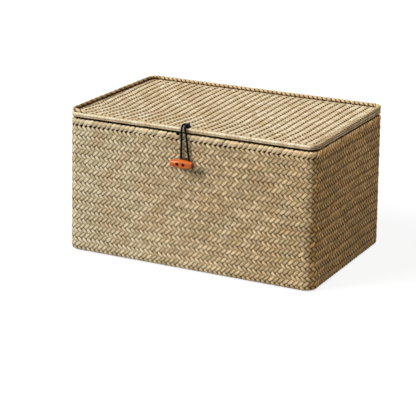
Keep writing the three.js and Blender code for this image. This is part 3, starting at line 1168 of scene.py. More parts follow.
@dataclass(frozen=True)
class Studio:
    """Camera, lamps and floor."""

    azimuth: float = math.radians(26.645)
    elevation: float = math.radians(17.502)
    roll: float = math.radians(0.811)
    distance: float = 1.2524
    target: Point = (-0.01525, 0.0, 0.02758)
    lens_mm: float = 141.375
    sensor_mm: float = 36.0
    clip_end: float = 20.0
    lamps: tuple[Lamp, ...] = (
        Lamp("key", (-0.60, -0.56, 0.57), 0.93, math.radians(34)),
        Lamp("overhead", (0.30, -0.12, 1.0), 0.40, math.radians(22)),
        Lamp("graze", (0.42, -0.86, 0.30), 0.09, math.radians(20)),
    )
    sky_level: float = 0.12
    floor_half: float = 3.0
    floor_drop: float = 0.0002
    floor_grey: float = 0.30
    floor_camera_grey: float = 0.25
    floor_camera_glow: float = 0.80

    def camera(self) -> None:
        """Stands the camera at the photograph's viewing angle."""
        back = np.array([
            math.sin(self.azimuth) * math.cos(self.elevation),
            -math.cos(self.azimuth) * math.cos(self.elevation),
            math.sin(self.elevation),
        ])
        level = np.array([math.cos(self.azimuth), math.sin(self.azimuth), 0.0])
        upright = np.cross(back, level)
        right = level * math.cos(self.roll) + upright * math.sin(self.roll)
        up = upright * math.cos(self.roll) - level * math.sin(self.roll)
        place = np.array(self.target) + back * self.distance
        data = bpy.data.cameras.new("camera")
        data.lens = self.lens_mm
        data.sensor_width = self.sensor_mm
        data.clip_end = self.clip_end
        camera = put_in_scene("camera", data)
        rows = [(right[axis], up[axis], back[axis], place[axis]) for axis in range(3)]
        camera.matrix_world = Matrix([*rows, (0.0, 0.0, 0.0, 1.0)])
        bpy.context.scene.camera = camera

    def light(self) -> None:
        """Hangs the soft lamps, and sets the sky."""
        for lamp in self.lamps:
            data = bpy.data.lights.new(lamp.name, "SUN")
            data.energy = lamp.level * math.pi
            data.angle = lamp.width
            light = put_in_scene(lamp.name, data)
            light.rotation_euler = Vector(lamp.source).to_track_quat("Z", "Y").to_euler()
        world = bpy.data.worlds.new("sky")
        graph = fresh_graph(world)
        level = graph.math("MULTIPLY", self._seen(graph), 1.0 - self.sky_level)
        level = graph.math("ADD", level, self.sky_level)
        sky = graph.add("ShaderNodeBackground", {"Color": rgba((1.0, 1.0, 1.0)), "Strength": level})
        graph.add("ShaderNodeOutputWorld", {"Surface": sky.outputs[0]})
        bpy.context.scene.world = world

    @staticmethod
    def _seen(graph: Graph) -> bpy.types.NodeSocket:
        """A mask that is 1 for camera, mirror and glass rays, and 0 for the rest."""
        path = graph.add("ShaderNodeLightPath").outputs
        mirrored = graph.math("ADD", path["Is Glossy Ray"], path["Is Transmission Ray"])
        return graph.math("ADD", path["Is Camera Ray"], mirrored, clamp=True)

    def floor(self) -> None:
        """Lays a plain pale floor that keeps the box's shadow."""
        half = self.floor_half
        corners = [(-half, -half, 0), (half, -half, 0), (half, half, 0), (-half, half, 0)]
        mesh = bpy.data.meshes.new("floor")
        mesh.from_pydata(corners, [], [(0, 1, 2, 3)])
        floor = put_in_scene("floor", mesh)
        floor.location.z = -self.floor_drop
        material = bpy.data.materials.new("floor")
        graph = fresh_graph(material)
        plain = graph.add("ShaderNodeBsdfDiffuse", {"Color": rgba((self.floor_grey,) * 3)})
        pale = graph.add("ShaderNodeBsdfDiffuse", {"Color": rgba((self.floor_camera_grey,) * 3)})
        glow = graph.add("ShaderNodeEmission", {"Strength": self.floor_camera_glow})
        shown = graph.add("ShaderNodeAddShader", {0: pale.outputs[0], 1: glow.outputs[0]})
        both = {0: self._seen(graph), 1: plain.outputs[0], 2: shown.outputs[0]}
        both = graph.add("ShaderNodeMixShader", both)
        graph.add("ShaderNodeOutputMaterial", {"Surface": both.outputs[0]})
        mesh.materials.append(material)


@dataclass(frozen=True)
class Knot:
    """A tight overhand knot that fills a CAD node's box, stretched and shifted from it."""

    name: str
    node: str
    body: Body
    cord_share: float
    stretch: Point = (1.0, 1.0, 1.0)
    shift: Point = (0.0, 0.0, 0.0)


@dataclass(frozen=True)
class BraidedCord:
    """The black braided cord, and the knots that are tied in it."""

    sides: int = 16
    strands: int = 4
    pitch: float = 0.0042
    relief: float = 0.07
    knot_steps: int = 72
    knot_folds: int = 2

    def rings(self, path: Array, radius: float, closed: bool = False) -> Array:
        """Rings of braided cord along a path.

        Args:
            path: The cord's centre line.
            radius: The cord's radius.
            closed: Whether it closes on itself.

        Returns:
            The rings.
        """
        angle = ring_angles(self.sides)
        turn = run_of(path)[:, None] / self.pitch * 2 * np.pi
        braid = np.sin(self.strands * angle + turn) * np.sin(self.strands * angle - turn)
        return tube_rings(path, radius * (1 + self.relief * braid / 2), self.sides, closed)

    def tie(self, knot: Knot, finishes: Finishes) -> None:
        """Makes one knot, with a cord that is a share of the knot's least side thick.

        Args:
            knot: The knot.
            finishes: The box's finishes.
        """
        low, high = node_box(knot.node)
        middle = (low + high) / 2 + np.array(knot.shift)
        reach = (high - low) / 2 * np.array(knot.stretch)
        low, high = middle - reach, middle + reach
        radius = min(high - low) * knot.cord_share / 2
        path = overhand_path(low, high, radius, self.knot_steps)
        loft = LoftMesh(knot.name)
        loft.add(self.rings(path, radius, closed=True), closed=True, folds=self.knot_folds)
        settle(loft.build(finishes.black), knot.body, Slot.BLACK, knot.node)


@dataclass(frozen=True)
class ClosureLoop:
    """The black cord loop from the knot on the lid, round the lid's edge, to the toggle."""

    braid: BraidedCord
    diameter: float = 0.0016
    middle_x: float = -0.0010
    bend_radius: float = 0.0032
    bend_points: int = 5
    on_lid: float = 0.109437
    on_wall: float = -0.0664
    mouth_height: float = 0.1032
    border_bottom: float = 0.0984
    toggle_height: float = 0.0824
    toggle_radius: float = 0.00325
    knot_y: float = -0.0614
    step: float = 0.0003
    folds: int = 6
    wrap_knot: Knot = Knot(
        "lid_wrap_knot", "loop_wrap_knot", Body.LID, 0.60,
        stretch=(1.00, 1.40, 1.45), shift=(-0.0005, -0.0017, -0.0004),
    )
    stopper_knot: Knot = Knot(
        "lid_stopper_knot", "loop_stopper_knot", Body.LID, 0.62,
        stretch=(1.25, 1.20, 1.25), shift=(0.0, -0.0002, 0.0),
    )

    def stations(self) -> list[tuple[float, float, float, float]]:
        """Places of the two strands from the knot to the toggle.

        Returns:
            For each place, Y, Z and how far the left and the right strand stand to their
            side, as shares of the bend at the toggle.
        """
        bends = [
            (0.0, 0.82, -0.28),
            (1 / 3, 0.88, -0.24),
            (2 / 3, 0.92, -0.14),
            (1.0, 0.94, 0.02),
        ]
        rounded = [
            (
                self.on_wall + self.bend_radius * (1 - math.sin(turn * math.pi / 2)),
                self.on_lid - self.bend_radius * (1 - math.cos(turn * math.pi / 2)),
                left_share,
                right_share,
            )
            for turn, left_share, right_share in bends
        ]
        halfway = (self.border_bottom + self.toggle_height) / 2
        return [
            (self.knot_y, self.on_lid, 0.68, -0.28),
            *rounded,
            (self.on_wall, self.mouth_height, 0.94, 0.22),
            (self.on_wall, self.border_bottom, 0.95, 0.42),
            (self.on_wall, halfway, 0.98, 0.74),
            (self.on_wall, self.toggle_height + self.toggle_radius, 1.0, 0.96),
        ]

    def route(self) -> Array:
        """The cord's centre line, from the knot down the left strand and up the right one."""
        stations = self.stations()
        radius = self.bend_radius
        points = [(self.middle_x - radius * left, y, z) for y, z, left, _ in stations]
        for angle in np.linspace(0.0, math.pi, self.bend_points):
            points.append((
                self.middle_x - radius * math.cos(angle),
                self.on_wall,
                self.toggle_height - radius * math.sin(angle),
            ))
        points += [(self.middle_x + radius * right, y, z) for y, z, _, right in reversed(stations)]
        return smooth_route(np.array(points), self.step)

    def build(self, finishes: Finishes) -> None:
        """Makes the loop, and ties its two knots.

        Args:
            finishes: The box's finishes.
        """
        path = self.route()
        loft = LoftMesh("closure_cord")
        loft.add(self.braid.rings(path, self.diameter / 2), folds=self.folds)
        cord = loft.build(finishes.black)
        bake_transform(cord)
        enter(cord, Slot.BLACK, "closure_loop")
        self.braid.tie(self.wrap_knot, finishes)
        self.braid.tie(self.stopper_knot, finishes)


@dataclass(frozen=True)
class Toggle:
    """The wooden toggle and the cord that carries it."""

    braid: BraidedCord
    length: float = 0.0184
    diameter: float = 0.0066
    end_diameter: float = 0.0045
    point_share: float = 0.02
    bevel_width: float = 0.00025
    bevel_step: float = 0.0001
    bevel_shares: tuple[float, float] = (0.97, 0.86)
    hole_diameter: float = 0.0026
    hole_spacing: float = 0.0049
    facet_depth: float = 0.0006
    cord_diameter: float = 0.0014
    pair_spacing: float = 0.00144
    cord_recess: float = 0.0011
    cord_step: float = 0.0004
    shank_spread: float = 0.00115
    inner_face_y: float = -0.0620
    gap: float = 0.0003
    turned_steps: int = 64
    length_steps: int = 84
    nose_steps: int = 9
    drill_sides: int = 32
    drill_rings: int = 9
    stopper_knot: Knot = Knot("toggle_stopper_knot", "toggle_cord_knot", Body.TOGGLE, 0.42)

    def middle(self) -> Array:
        """The toggle's centre."""
        return joint_place("toggle_turn")

    def profile(self) -> Array:
        """Places along X and radii of the turned barrel, round at the left and flat at the right."""
        end = self.end_diameter / 2
        bulge = self.diameter / 2 - end
        half = self.length / 2
        nose = np.linspace(0.0, math.pi / 2, self.nose_steps + 1)[:-1]
        share = np.linspace(0.0, 1.0, self.length_steps)
        start = -half + end / 2
        along = [
            -half + end / 2 * (1 - np.cos(nose)),
            start + (half - start - self.bevel_width) * share,
            (half - self.bevel_step, half),
        ]
        radii = [
            np.maximum(end * np.sin(nose), end * self.point_share),
            end + bulge * np.sin(share * math.pi),
            [end * bevel_share for bevel_share in self.bevel_shares],
        ]
        return np.stack([np.concatenate(along), np.concatenate(radii)], axis=-1)

    def barrel(self, finishes: Finishes) -> None:
        """Turns the barrel, planes its facet and bores its two holes.

        Args:
            finishes: The box's finishes.
        """
        profile = self.profile()
        angle = ring_angles(self.turned_steps)
        rings = np.stack([
            np.broadcast_to(profile[:, :1], (len(profile), len(angle))),
            profile[:, 1:] * np.cos(angle),
            profile[:, 1:] * np.sin(angle),
        ], axis=-1)
        rings[..., 1] = np.maximum(rings[..., 1], self.facet_depth - self.diameter / 2)
        loft = LoftMesh("toggle_barrel")
        loft.add(rings + self.middle())
        barrel = loft.build(finishes.wood)
        for side in (-1, 1):
            self._bore(barrel, self.middle() + (side * self.hole_spacing / 2, 0.0, 0.0))
        settle(barrel, Body.TOGGLE, Slot.WOOD, "toggle")

    def _bore(self, barrel: bpy.types.Object, centre: Array) -> None:
        """Bores one hole along Y through the barrel.

        Args:
            barrel: The barrel.
            centre: The hole's middle.
        """
        reach = np.linspace(-1.0, 1.0, self.drill_rings) * self.diameter
        path = centre + np.outer(reach, (0.0, 1.0, 0.0))
        drill = LoftMesh("drill")
        drill.add(tube_rings(path, self.hole_diameter / 2, self.drill_sides))
        cutter = drill.build(barrel.data.materials[0])
        cut = barrel.modifiers.new("bore", "BOOLEAN")
        cut.operation = "DIFFERENCE"
        cut.solver = "EXACT"
        cut.object = cutter
        bpy.context.view_layer.update()
        ready = barrel.evaluated_get(bpy.context.evaluated_depsgraph_get())
        bored = bpy.data.meshes.new_from_object(ready)
        barrel.modifiers.remove(cut)
        barrel.data = bored
        bpy.data.objects.remove(cutter)

    def cord(self, finishes: Finishes) -> None:
        """Lays the two legs of cord from the toggle's holes through the wall to their knot.

        Args:
            finishes: The box's finishes.
        """
        middle = self.middle()
        radius = self.diameter / 2
        front = self.facet_depth + self.cord_recess - radius
        wall = radius + self.shank_spread + self.gap
        end = self.inner_face_y - middle[1] + self.gap
        hole = self.hole_spacing / 2
        pair = self.pair_spacing / 2
        places = [
            (hole, front), (hole, 0.0), (hole, radius - self.gap),
            ((pair + hole) / 2, radius + self.shank_spread / 2), (pair, wall),
            (pair, (wall + end) / 2), (pair, end),
        ]
        loft = LoftMesh("toggle_shank_cord")
        for side in (-1, 1):
            points = middle + np.array([(side * x, y, 0.0) for x, y in places])
            path = smooth_route(points, self.cord_step)
            loft.add(self.braid.rings(path, self.cord_diameter / 2))
        settle(loft.build(finishes.black), Body.TOGGLE, Slot.BLACK, "toggle_cord")
        self.braid.tie(self.stopper_knot, finishes)


@dataclass(frozen=True)
class Basket:
    """The plaited walls and base."""

    plan: Plan
    lanes: int = 169
    row_spacing: float = 0.00725
    hole_row_height: float = 0.0981
    middle_inset: float = 0.0008
    base_height: float = 0.0010
    turn_radius: float = 0.0019
    tuck_under: float = 0.0010
    flare: float = 0.0012
    wall_top: float = 0.0998
    pull_in: float = 0.0015
    rising_end: float = 0.0971
    falling_end: float = 0.0981
    pull_in_rise: float = 0.0007
    lift_ripples: tuple[Ripple, ...] = (
        Ripple(0.00030, 7, 40), Ripple(0.00022, 17, -90), Ripple(0.00014, 31, 170, 1.0),
    )
    drift_ripples: tuple[Ripple, ...] = (Ripple(0.00035, 5, 75), Ripple(0.00020, 23, -130))
    ripple_rise: float = 0.012
    passage_radius: float = 0.0019
    passage_reach: float = 0.0035
    border_bottom: float = 0.0974
    base_lane: float = 0.00186
    base_edge_inset: float = 0.0022
    shade_side_deepening: float = 0.25
    shade_side_start: float = 0.4
    most_browned_shade: float = 0.92
    browned_shade_drift: float = 0.42
    back_browned_shade: float = 0.6
    painted_light_lift: float = 0.20
    painted_light_drift: float = 0.46
    seed: int = 41

    def twill(self) -> Twill:
        """The plait of the walls."""
        return Twill(lane=self.plan.perimeter / (2 * self.lanes), level=self.row_spacing / 4)

    def sway(self, walk: Array, height: Array) -> tuple[Array, Array]:
        """Moves an even plait to the uneven one that a hand makes.

        Args:
            walk: Distances round the box.
            height: Heights on the wall.

        Returns:
            The real distances and heights.
        """
        turn = walk / self.plan.perimeter * 2 * np.pi
        fade = smoothstep(0.0, self.ripple_rise, height)
        drift = rippled(0.0, self.drift_ripples, turn, height)
        lift = rippled(0.0, self.lift_ripples, turn, height)
        return walk + drift * fade, height + lift * fade

    def part(self, walk: Array, height: Array) -> tuple[Array, Array]:
        """Pushes the strips apart round the passage of the toggle's cord.

        Args:
            walk: Distances round the box.
            height: Heights on the wall.

        Returns:
            The new distances and heights.
        """
        hole = joint_place("toggle_turn")
        whole = self.plan.perimeter
        around = walk - self.plan.walk_at_front(hole[0]) + whole / 2
        around = np.mod(around, whole) - whole / 2
        away = height - hole[2]
        gap = np.maximum(np.hypot(around, away), LEAST_GAP)
        push = self.passage_radius * np.exp(-((gap / self.passage_reach) ** 2))
        return walk + around / gap * push, height + away / gap * push

    def surface(self, walk: Array, run: Array, height: Array, end: float) -> Array:
        """Points of the wall's plait.

        Args:
            walk: Distances round the box.
            run: Heights, which go on round the lower edge and under the base.
            height: Distances out from the middle of the plait.
            end: The height where the strip starts to go in behind the border.

        Returns:
            The points.
        """
        walk, run = self.part(*self.sway(walk, run))
        start = self.base_height + self.turn_radius
        turn = np.clip((start - run) / self.turn_radius, 0.0, math.pi / 2)
        under = np.maximum(start - run - self.turn_radius * math.pi / 2, 0.0)
        inset = self.middle_inset + self.turn_radius * (1 - np.cos(turn)) + under
        inset = inset + self.pull_in * smoothstep(end, end + self.pull_in_rise, run)
        inset = inset - self.flare * (1 - np.clip(run / self.border_bottom, 0.0, 1.0))
        rise = np.where(run > start, run, start - self.turn_radius * np.sin(turn))
        return self.plan.place(walk, inset - height * np.cos(turn), rise - height * np.sin(turn))

    def aged(self, points: Array) -> Array:
        """How far each point is browned as painted shade: most on the right and back walls, away from
        the key lamp, and more towards the right.
        """
        drift = self.browned_shade_drift * self.plan.share_along(points)
        walls = np.maximum(self.plan.on_right(points), self.back_browned_shade * self.plan.on_back(points))
        return np.maximum(walls, drift)

    def painted_light_tone(self, tone: float, points: Array) -> Array:
        """A strip's tone at each point, with painted light: paler towards the left of the box, nearer
        the key lamp.
        """
        drift = self.painted_light_drift * self.plan.share_along(points)
        return np.clip(tone + self.painted_light_lift - drift, 0.0, 1.0)

    def phase(self) -> float:
        """Where strip 0 starts on the walk, so that the toggle's cord passes between strips."""
        twill = self.twill()
        hole = joint_place("toggle_turn")
        hole_level = round((hole[2] - self.hole_row_height) / twill.level - HOLES_BELOW)
        return self.plan.walk_at_front(hole[0]) - twill.lane * (hole_level + 1)

    def wall_counts(self) -> dict[Side, int]:
        """How many strips of one lean start from each wall."""
        corner = self.plan.corner * math.pi / 2
        front, side = (
            round((straight + corner) / self.plan.perimeter * self.lanes)
            for straight in self.plan.straights
        )
        return dict(zip(Side, (front, side, front, self.lanes - 2 * front - side)))

    def walls(self, finishes: Finishes) -> None:
        """Plaits the walls, in one piece for each lean and each side that its strips start from.

        Args:
            finishes: The box's finishes.
        """
        twill = self.twill()
        draw = np.random.default_rng(self.seed)
        foot = self.base_height + self.turn_radius * (1 - math.pi / 2) - self.tuck_under
        levels = twill.levels(*(
            (height - self.hole_row_height) / twill.level - HOLES_BELOW
            for height in (foot, self.wall_top)
        ))
        phase = self.phase()
        level_0 = self.hole_row_height + HOLES_BELOW * twill.level
        for lean in Lean:
            end = self.rising_end if lean is Lean.RISING else self.falling_end
            number = 0
            for wall, count in self.wall_counts().items():
                loft = LoftMesh(f"wall_strips_{lean.name.lower()}_from_{wall.value}")
                for _ in range(count):
                    walk, rise, height, tuck, tone = twill.strip(number, lean, levels, draw)
                    run = rise + level_0
                    points = self.surface(walk + phase, run, height, end)
                    # Painted shade on the strip ends that go in behind the border.
                    tuck = tuck + (1 - tuck) * smoothstep(end, end + self.pull_in_rise, run)
                    # Painted shade: the right and back walls are browned, and their painted shade is
                    # deepened.
                    aged = self.aged(points)
                    tuck = tuck ** (1 - self.shade_side_deepening * smoothstep(self.shade_side_start, 1.0, aged))
                    # Painted light: paler towards the left.
                    tone = self.painted_light_tone(tone, points)
                    loft.add(points, tone=tone, tuck=tuck, age=self.most_browned_shade * aged)
                    number += 1
                settle(loft.build(finishes.plait), Body.BASKET, Slot.PLAIT, "basket_body")

    def base(self, finishes: Finishes) -> None:
        """Plaits the base.

        Args:
            finishes: The box's finishes.
        """
        twill = Twill(
            lane=self.base_lane, level=self.base_lane, amplitude=0.00042, crown=0.0003,
            groove_depth=0.0001,
        )
        draw = np.random.default_rng(self.seed + 1)
        for lean in Lean:
            loft = LoftMesh(f"base_strips_{lean.name.lower()}")
            for strip in clipped_strips(twill, lean, self.plan, self.base_edge_inset, draw):
                y, x, height, tuck, tone = strip
                points = np.stack([x, y, self.base_height + height], axis=-1)
                loft.add(points, tone=tone, tuck=tuck)
            settle(loft.build(finishes.plait), Body.BASKET, Slot.PLAIT, "basket_body")

    def build(self, finishes: Finishes) -> None:
        """Makes the walls and the base.

        Args:
            finishes: The box's finishes.
        """
        self.walls(finishes)
        self.base(finishes)


@dataclass(frozen=True)
class Border:
    """The strips' ends, folded over the mouth in a row of slanted scales, and the hoop in the fold."""

    basket: Basket
    lean: float = 0.80
    inset: float = 0.0004
    thickness: float = 0.0004
    turn_radius: float = 0.00115
    top: float = 0.1021
    inner_drop: float = 0.0032
    dip: float = 0.0005
    dip_run: float = 0.0016
    outer_runs: Shares = (0.0, 0.0003, 0.0008, 0.0014, 0.0021, 0.0028)
    turn_rings: int = 6
    inner_rings: int = 4
    section_across: Shares = (-0.5, -0.42, -0.2, 0.1, 0.3, 0.42, 0.5, 0.3, -0.3)
    section_up: Shares = (0.0, 0.75, 1.0, 1.0, 1.0, 0.75, 0.0, -1.15, -1.15)
    height_share: float = 0.95
    tilt: float = 0.0005
    fill_share: float = 1.04
    taper: float = 0.0028
    left_least: float = 0.55
    left_gain: float = 0.45
    right_power: float = 0.8
    lead_lanes: float = 0.8
    width_play: float = 0.08
    place_play: float = 0.00030
    length_play: float = 0.10
    least_tone: float = 0.35
    rim_start: float = 0.36
    rim_shade: float = 0.4
    inner_start: float = 0.38
    inner_full: float = 0.70
    inner_shade: float = 0.9
    inner_fade: float = 0.8
    inner_fade_run: float = 0.001
    notch_start: float = 0.15
    notch_full: float = 0.42
    notch_run: float = 0.0012
    notch_end_run: float = 0.0030
    crest_age: float = 0.15
    crest_place: float = 0.3
    crest_run: float = 0.0006
    most_browned_shade: float = 0.9
    seed: int = 43

    def fold_lengths(self) -> tuple[float, float]:
        """Lengths of the border's fold up the outside and over the top."""
        radius = self.turn_radius
        return self.top - radius - self.basket.border_bottom, math.pi * radius

    def fold(self, walk: Array, run: Array, height: Array) -> Array:
        """Points of the border's fold, over the mouth and down inside.

        Args:
            walk: Distances round the box.
            run: Distances up the outside, over the top and down inside.
            height: Distances out from the middle of the strip.

        Returns:
            The points.
        """
        radius = self.turn_radius
        shoulder = self.top - radius
        up, over = self.fold_lengths()
        turn = np.clip((run - up) / radius, 0.0, math.pi)
        down = np.maximum(run - up - over, 0.0)
        inset = self.inset + radius * (1 - np.cos(turn))
        rise = np.minimum(self.basket.border_bottom + run, shoulder)
        rise = rise + radius * np.sin(turn) - down
        dip = 1 - np.clip(run / self.dip_run, 0.0, 1.0)
        inset = inset + self.dip * dip * dip
        return self.basket.plan.place(walk, inset - height * np.cos(turn), rise + height * np.sin(turn))

    def shade(self, run: Array) -> tuple[Array, Array]:
        """The shade painted on a scale of the border, and the browning of its crest.

        Args:
            run: Each ring's distance up the outside, over the top and down inside.

        Returns:
            The painted shade for each ring and place across, and the browning of the crest for each
            ring.
        """
        across = np.array(self.section_across)
        up, over = self.fold_lengths()
        start, full = (up + share * over for share in (self.inner_start, self.inner_full))
        # Painted shade on the inner half of the fold, under the lid, fading further down inside.
        inside = smoothstep(start, full, run)[:, None]
        deep = smoothstep(up + over, up + over + self.inner_fade_run, run)
        inside = inside * (1 - self.inner_fade * deep)[:, None]
        # Painted shade along both edges of each scale.
        rim = smoothstep(self.rim_start, 0.5, np.abs(across))
        # A painted shadow at the lower right of each scale.
        low = 1 - smoothstep(self.notch_run, self.notch_end_run, run)
        notch_shadow = smoothstep(self.notch_start, self.notch_full, across) * low[:, None]
        dark = self.inner_shade * inside + self.rim_shade * rim
        from_crest = (run - up - self.crest_place * over) / self.crest_run
        crest = self.crest_age * np.exp(-(from_crest ** 2))[:, None]
        return np.clip(np.maximum(dark, notch_shadow), 0.0, 1.0), crest

    def scales(self, finishes: Finishes) -> None:
        """Folds the ends of the strips over the mouth, in a row of slanted scales.

        Args:
            finishes: The box's finishes.
        """
        lane = self.basket.twill().lane
        draw = np.random.default_rng(self.seed)
        up, over = self.fold_lengths()
        run = np.concatenate([
            self.outer_runs,
            np.linspace(up, up + over, self.turn_rings + 1)[:-1],
            np.linspace(up + over, up + over + self.inner_drop, self.inner_rings),
        ])
        slope = math.hypot(self.lean, 1.0)
        width = 2 * lane / slope * self.fill_share
        share = np.clip(run / self.taper, 0.0, 1.0)[:, None]
        left_taper = self.left_least + self.left_gain * share
        across = np.array(self.section_across)
        spread = np.where(across > 0, share ** self.right_power, left_taper) * across
        height = np.array(self.section_up) * self.thickness * self.height_share
        height = height - self.tilt * across
        dark, crest = self.shade(run)
        phase = self.basket.phase()
        loft = LoftMesh("border_fold")
        for number in range(self.basket.lanes):
            offset = spread * (width * (1 + self.width_play * draw.uniform(-1, 1)))
            start = phase + (2 * number - self.lead_lanes) * lane
            start = start + self.place_play * draw.uniform(-1, 1)
            longer = 1 + self.length_play * draw.uniform(-1, 1)
            reach = np.where(run < up, up - (up - run) * longer, run)[:, None]
            walk = start + self.lean * reach + offset / slope
            points = self.fold(walk, reach - offset * self.lean / slope, height)
            # Browning from the walls, which on the right and back is painted shade, and a browned
            # crest.
            age = np.maximum(self.most_browned_shade * self.basket.aged(points), crest)
            tone = draw.uniform(self.least_tone, 1.0)
            loft.add(points, tone=tone, tuck=dark, age=age)
        settle(loft.build(finishes.plait), Body.BASKET, Slot.PLAIT, "basket_border")

    def hoop(self, finishes: Finishes) -> None:
        """Dresses the cane hoop that lies in the border's fold.

        Args:
            finishes: The box's finishes.
        """
        hoop = frame["nodes"]["mouth_hoop"]
        hoop.data.materials.clear()
        hoop.data.materials.append(finishes.cane)

    def build(self, finishes: Finishes) -> None:
        """Makes the row of scales, and dresses the hoop.

        Args:
            finishes: The box's finishes.
        """
        self.scales(finishes)
        self.hoop(finishes)


def clipped_strips(
    twill: Twill, lean: Lean, plan: Plan, inset: float, draw: np.random.Generator,
    sway: Sway | None = None,
) -> list[Strip]:
    """The strips of a flat plait with its levels across X, cut off at an inset outline.

    Args:
        twill: The plait.
        lean: Which way the strips lean.
        plan: The box's plan.
        inset: How far inside the outside the strips end.
        draw: Where chance differences come from.
        sway: What moves an even plait's X and Y to the real ones.

    Returns:
        For each strip, Y, X, height and painted shade of its points, and its tone.
    """
    reach = round(plan.half_length / twill.level) + SPARE_LEVELS
    levels = twill.levels(-reach, reach)
    numbers = round((plan.half_depth + reach * twill.lane) / (2 * twill.lane)) + 1
    strips = []
    for number in range(-numbers, numbers + 1):
        y, x, height, tuck, tone = twill.strip(number, lean, levels, draw)
        if sway is not None:
            x, y = sway(x, y)
        gap = plan.outline_gap(x.mean(axis=1), y.mean(axis=1))
        kept = np.flatnonzero(gap > inset)
        if len(kept) > MIN_RINGS:
            part = slice(kept[0], kept[-1] + 1)
            strips.append((y[part], x[part], height[part], tuck[part], tone))
    return strips


@dataclass(frozen=True)
class LidPanel:
    """The lid's panel, plaited so that its rows stand up as ribs."""

    plan: Plan
    rib_spacing: float = 0.00605
    cell_length: float = 0.0038
    middle_height: float = 0.10635
    crown_rise: float = 0.00065
    crown_start: float = 0.002
    crown_end: float = 0.006
    rib_relief: float = 0.00125
    groove_shade: float = 0.46
    edge_inset: float = 0.0020
    sway_share: float = 0.55
    sway_fade: float = 0.40
    lean_front_share: float = 0.26
    lean_middle_share: float = -0.105
    lean_back_share: float = 0.03
    front_bend_y: float = -0.033
    back_bend_y: float = 0.034
    bend_half: float = 0.007
    shift_reach: float = 0.09
    shift_steps: int = 361
    rib_ripples: tuple[Ripple, ...] = (Ripple(0.0004, 90), Ripple(0.0003, 210))
    row_ripples: tuple[Ripple, ...] = (Ripple(0.0006, 370), Ripple(0.0004, 610, start=1.3))
    seed: int = 97

    def shift(self, y: Array) -> Array:
        """How far the ribs have wandered to the right at each place along them.

        Args:
            y: Places from the front to the back.

        Returns:
            The shift along X.
        """
        walk = np.linspace(-self.shift_reach, self.shift_reach, self.shift_steps)
        front, back = (
            smoothstep(bend - self.bend_half, bend + self.bend_half, walk)
            for bend in (self.front_bend_y, self.back_bend_y)
        )
        front = 1 - front
        slope = (
            self.lean_front_share * front
            + self.lean_back_share * back
            + self.lean_middle_share * (1 - front) * (1 - back)
        )
        shift = np.cumsum(slope) * (walk[1] - walk[0])
        shift = shift - shift.mean()
        return rippled(np.interp(y, walk, shift), self.rib_ripples, y)

    def sway(self, x: Array, y: Array) -> tuple[Array, Array]:
        """Moves an even plait, x across the ribs and y along them, to the ribs' wandering lines."""
        share = self.sway_share - self.sway_fade * x / self.plan.half_length
        return x + self.shift(y) * share, rippled(y, self.row_ripples, x)

    def rib_place(self, x: Array, y: Array) -> Array:
        """Where each point would lie across the ribs if they ran straight."""
        shift = self.shift(y)
        return (x - self.sway_share * shift) / (1 - self.sway_fade * shift / self.plan.half_length)

    def build(self, finishes: Finishes) -> None:
        """Plaits the lid's panel, in two pieces for each lean.

        Args:
            finishes: The box's finishes.
        """
        twill = Twill(
            lane=self.cell_length / 2, level=self.rib_spacing / 4, amplitude=0.00026,
            crown=0.00034, groove_depth=self.rib_relief, groove_power=0.62, falling_share=0.8,
            nick_reach=0.42, nick_start=0.0, end_shade=0.25, right_edge_shade=0.45,
            left_edge_shade=0.20, round_shade=0.0,
        )
        draw = np.random.default_rng(self.seed)
        for lean in Lean:
            strips = clipped_strips(twill, lean, self.plan, self.edge_inset, draw, self.sway)
            half = len(strips) // 2
            for side, part in ((Side.FRONT, strips[:half]), (Side.BACK, strips[half:])):
                loft = LoftMesh(f"lid_strips_{lean.name.lower()}_{side.value}")
                for y, x, height, tuck, tone in part:
                    gap = self.plan.outline_gap(x, y)
                    rise = self.crown_rise * smoothstep(self.crown_start, self.crown_end, gap)
                    # Painted shade in the grooves between the ribs, on top of the plait's own.
                    groove = 1 - twill.band_rise(self.rib_place(x, y) / twill.level)
                    points = np.stack([x, y, self.middle_height + rise + height], axis=-1)
                    loft.add(points, tone=tone, tuck=np.clip(tuck + self.groove_shade * groove, 0, 1))
                settle(loft.build(finishes.lid), Body.LID, Slot.RIBS, "lid_panel")


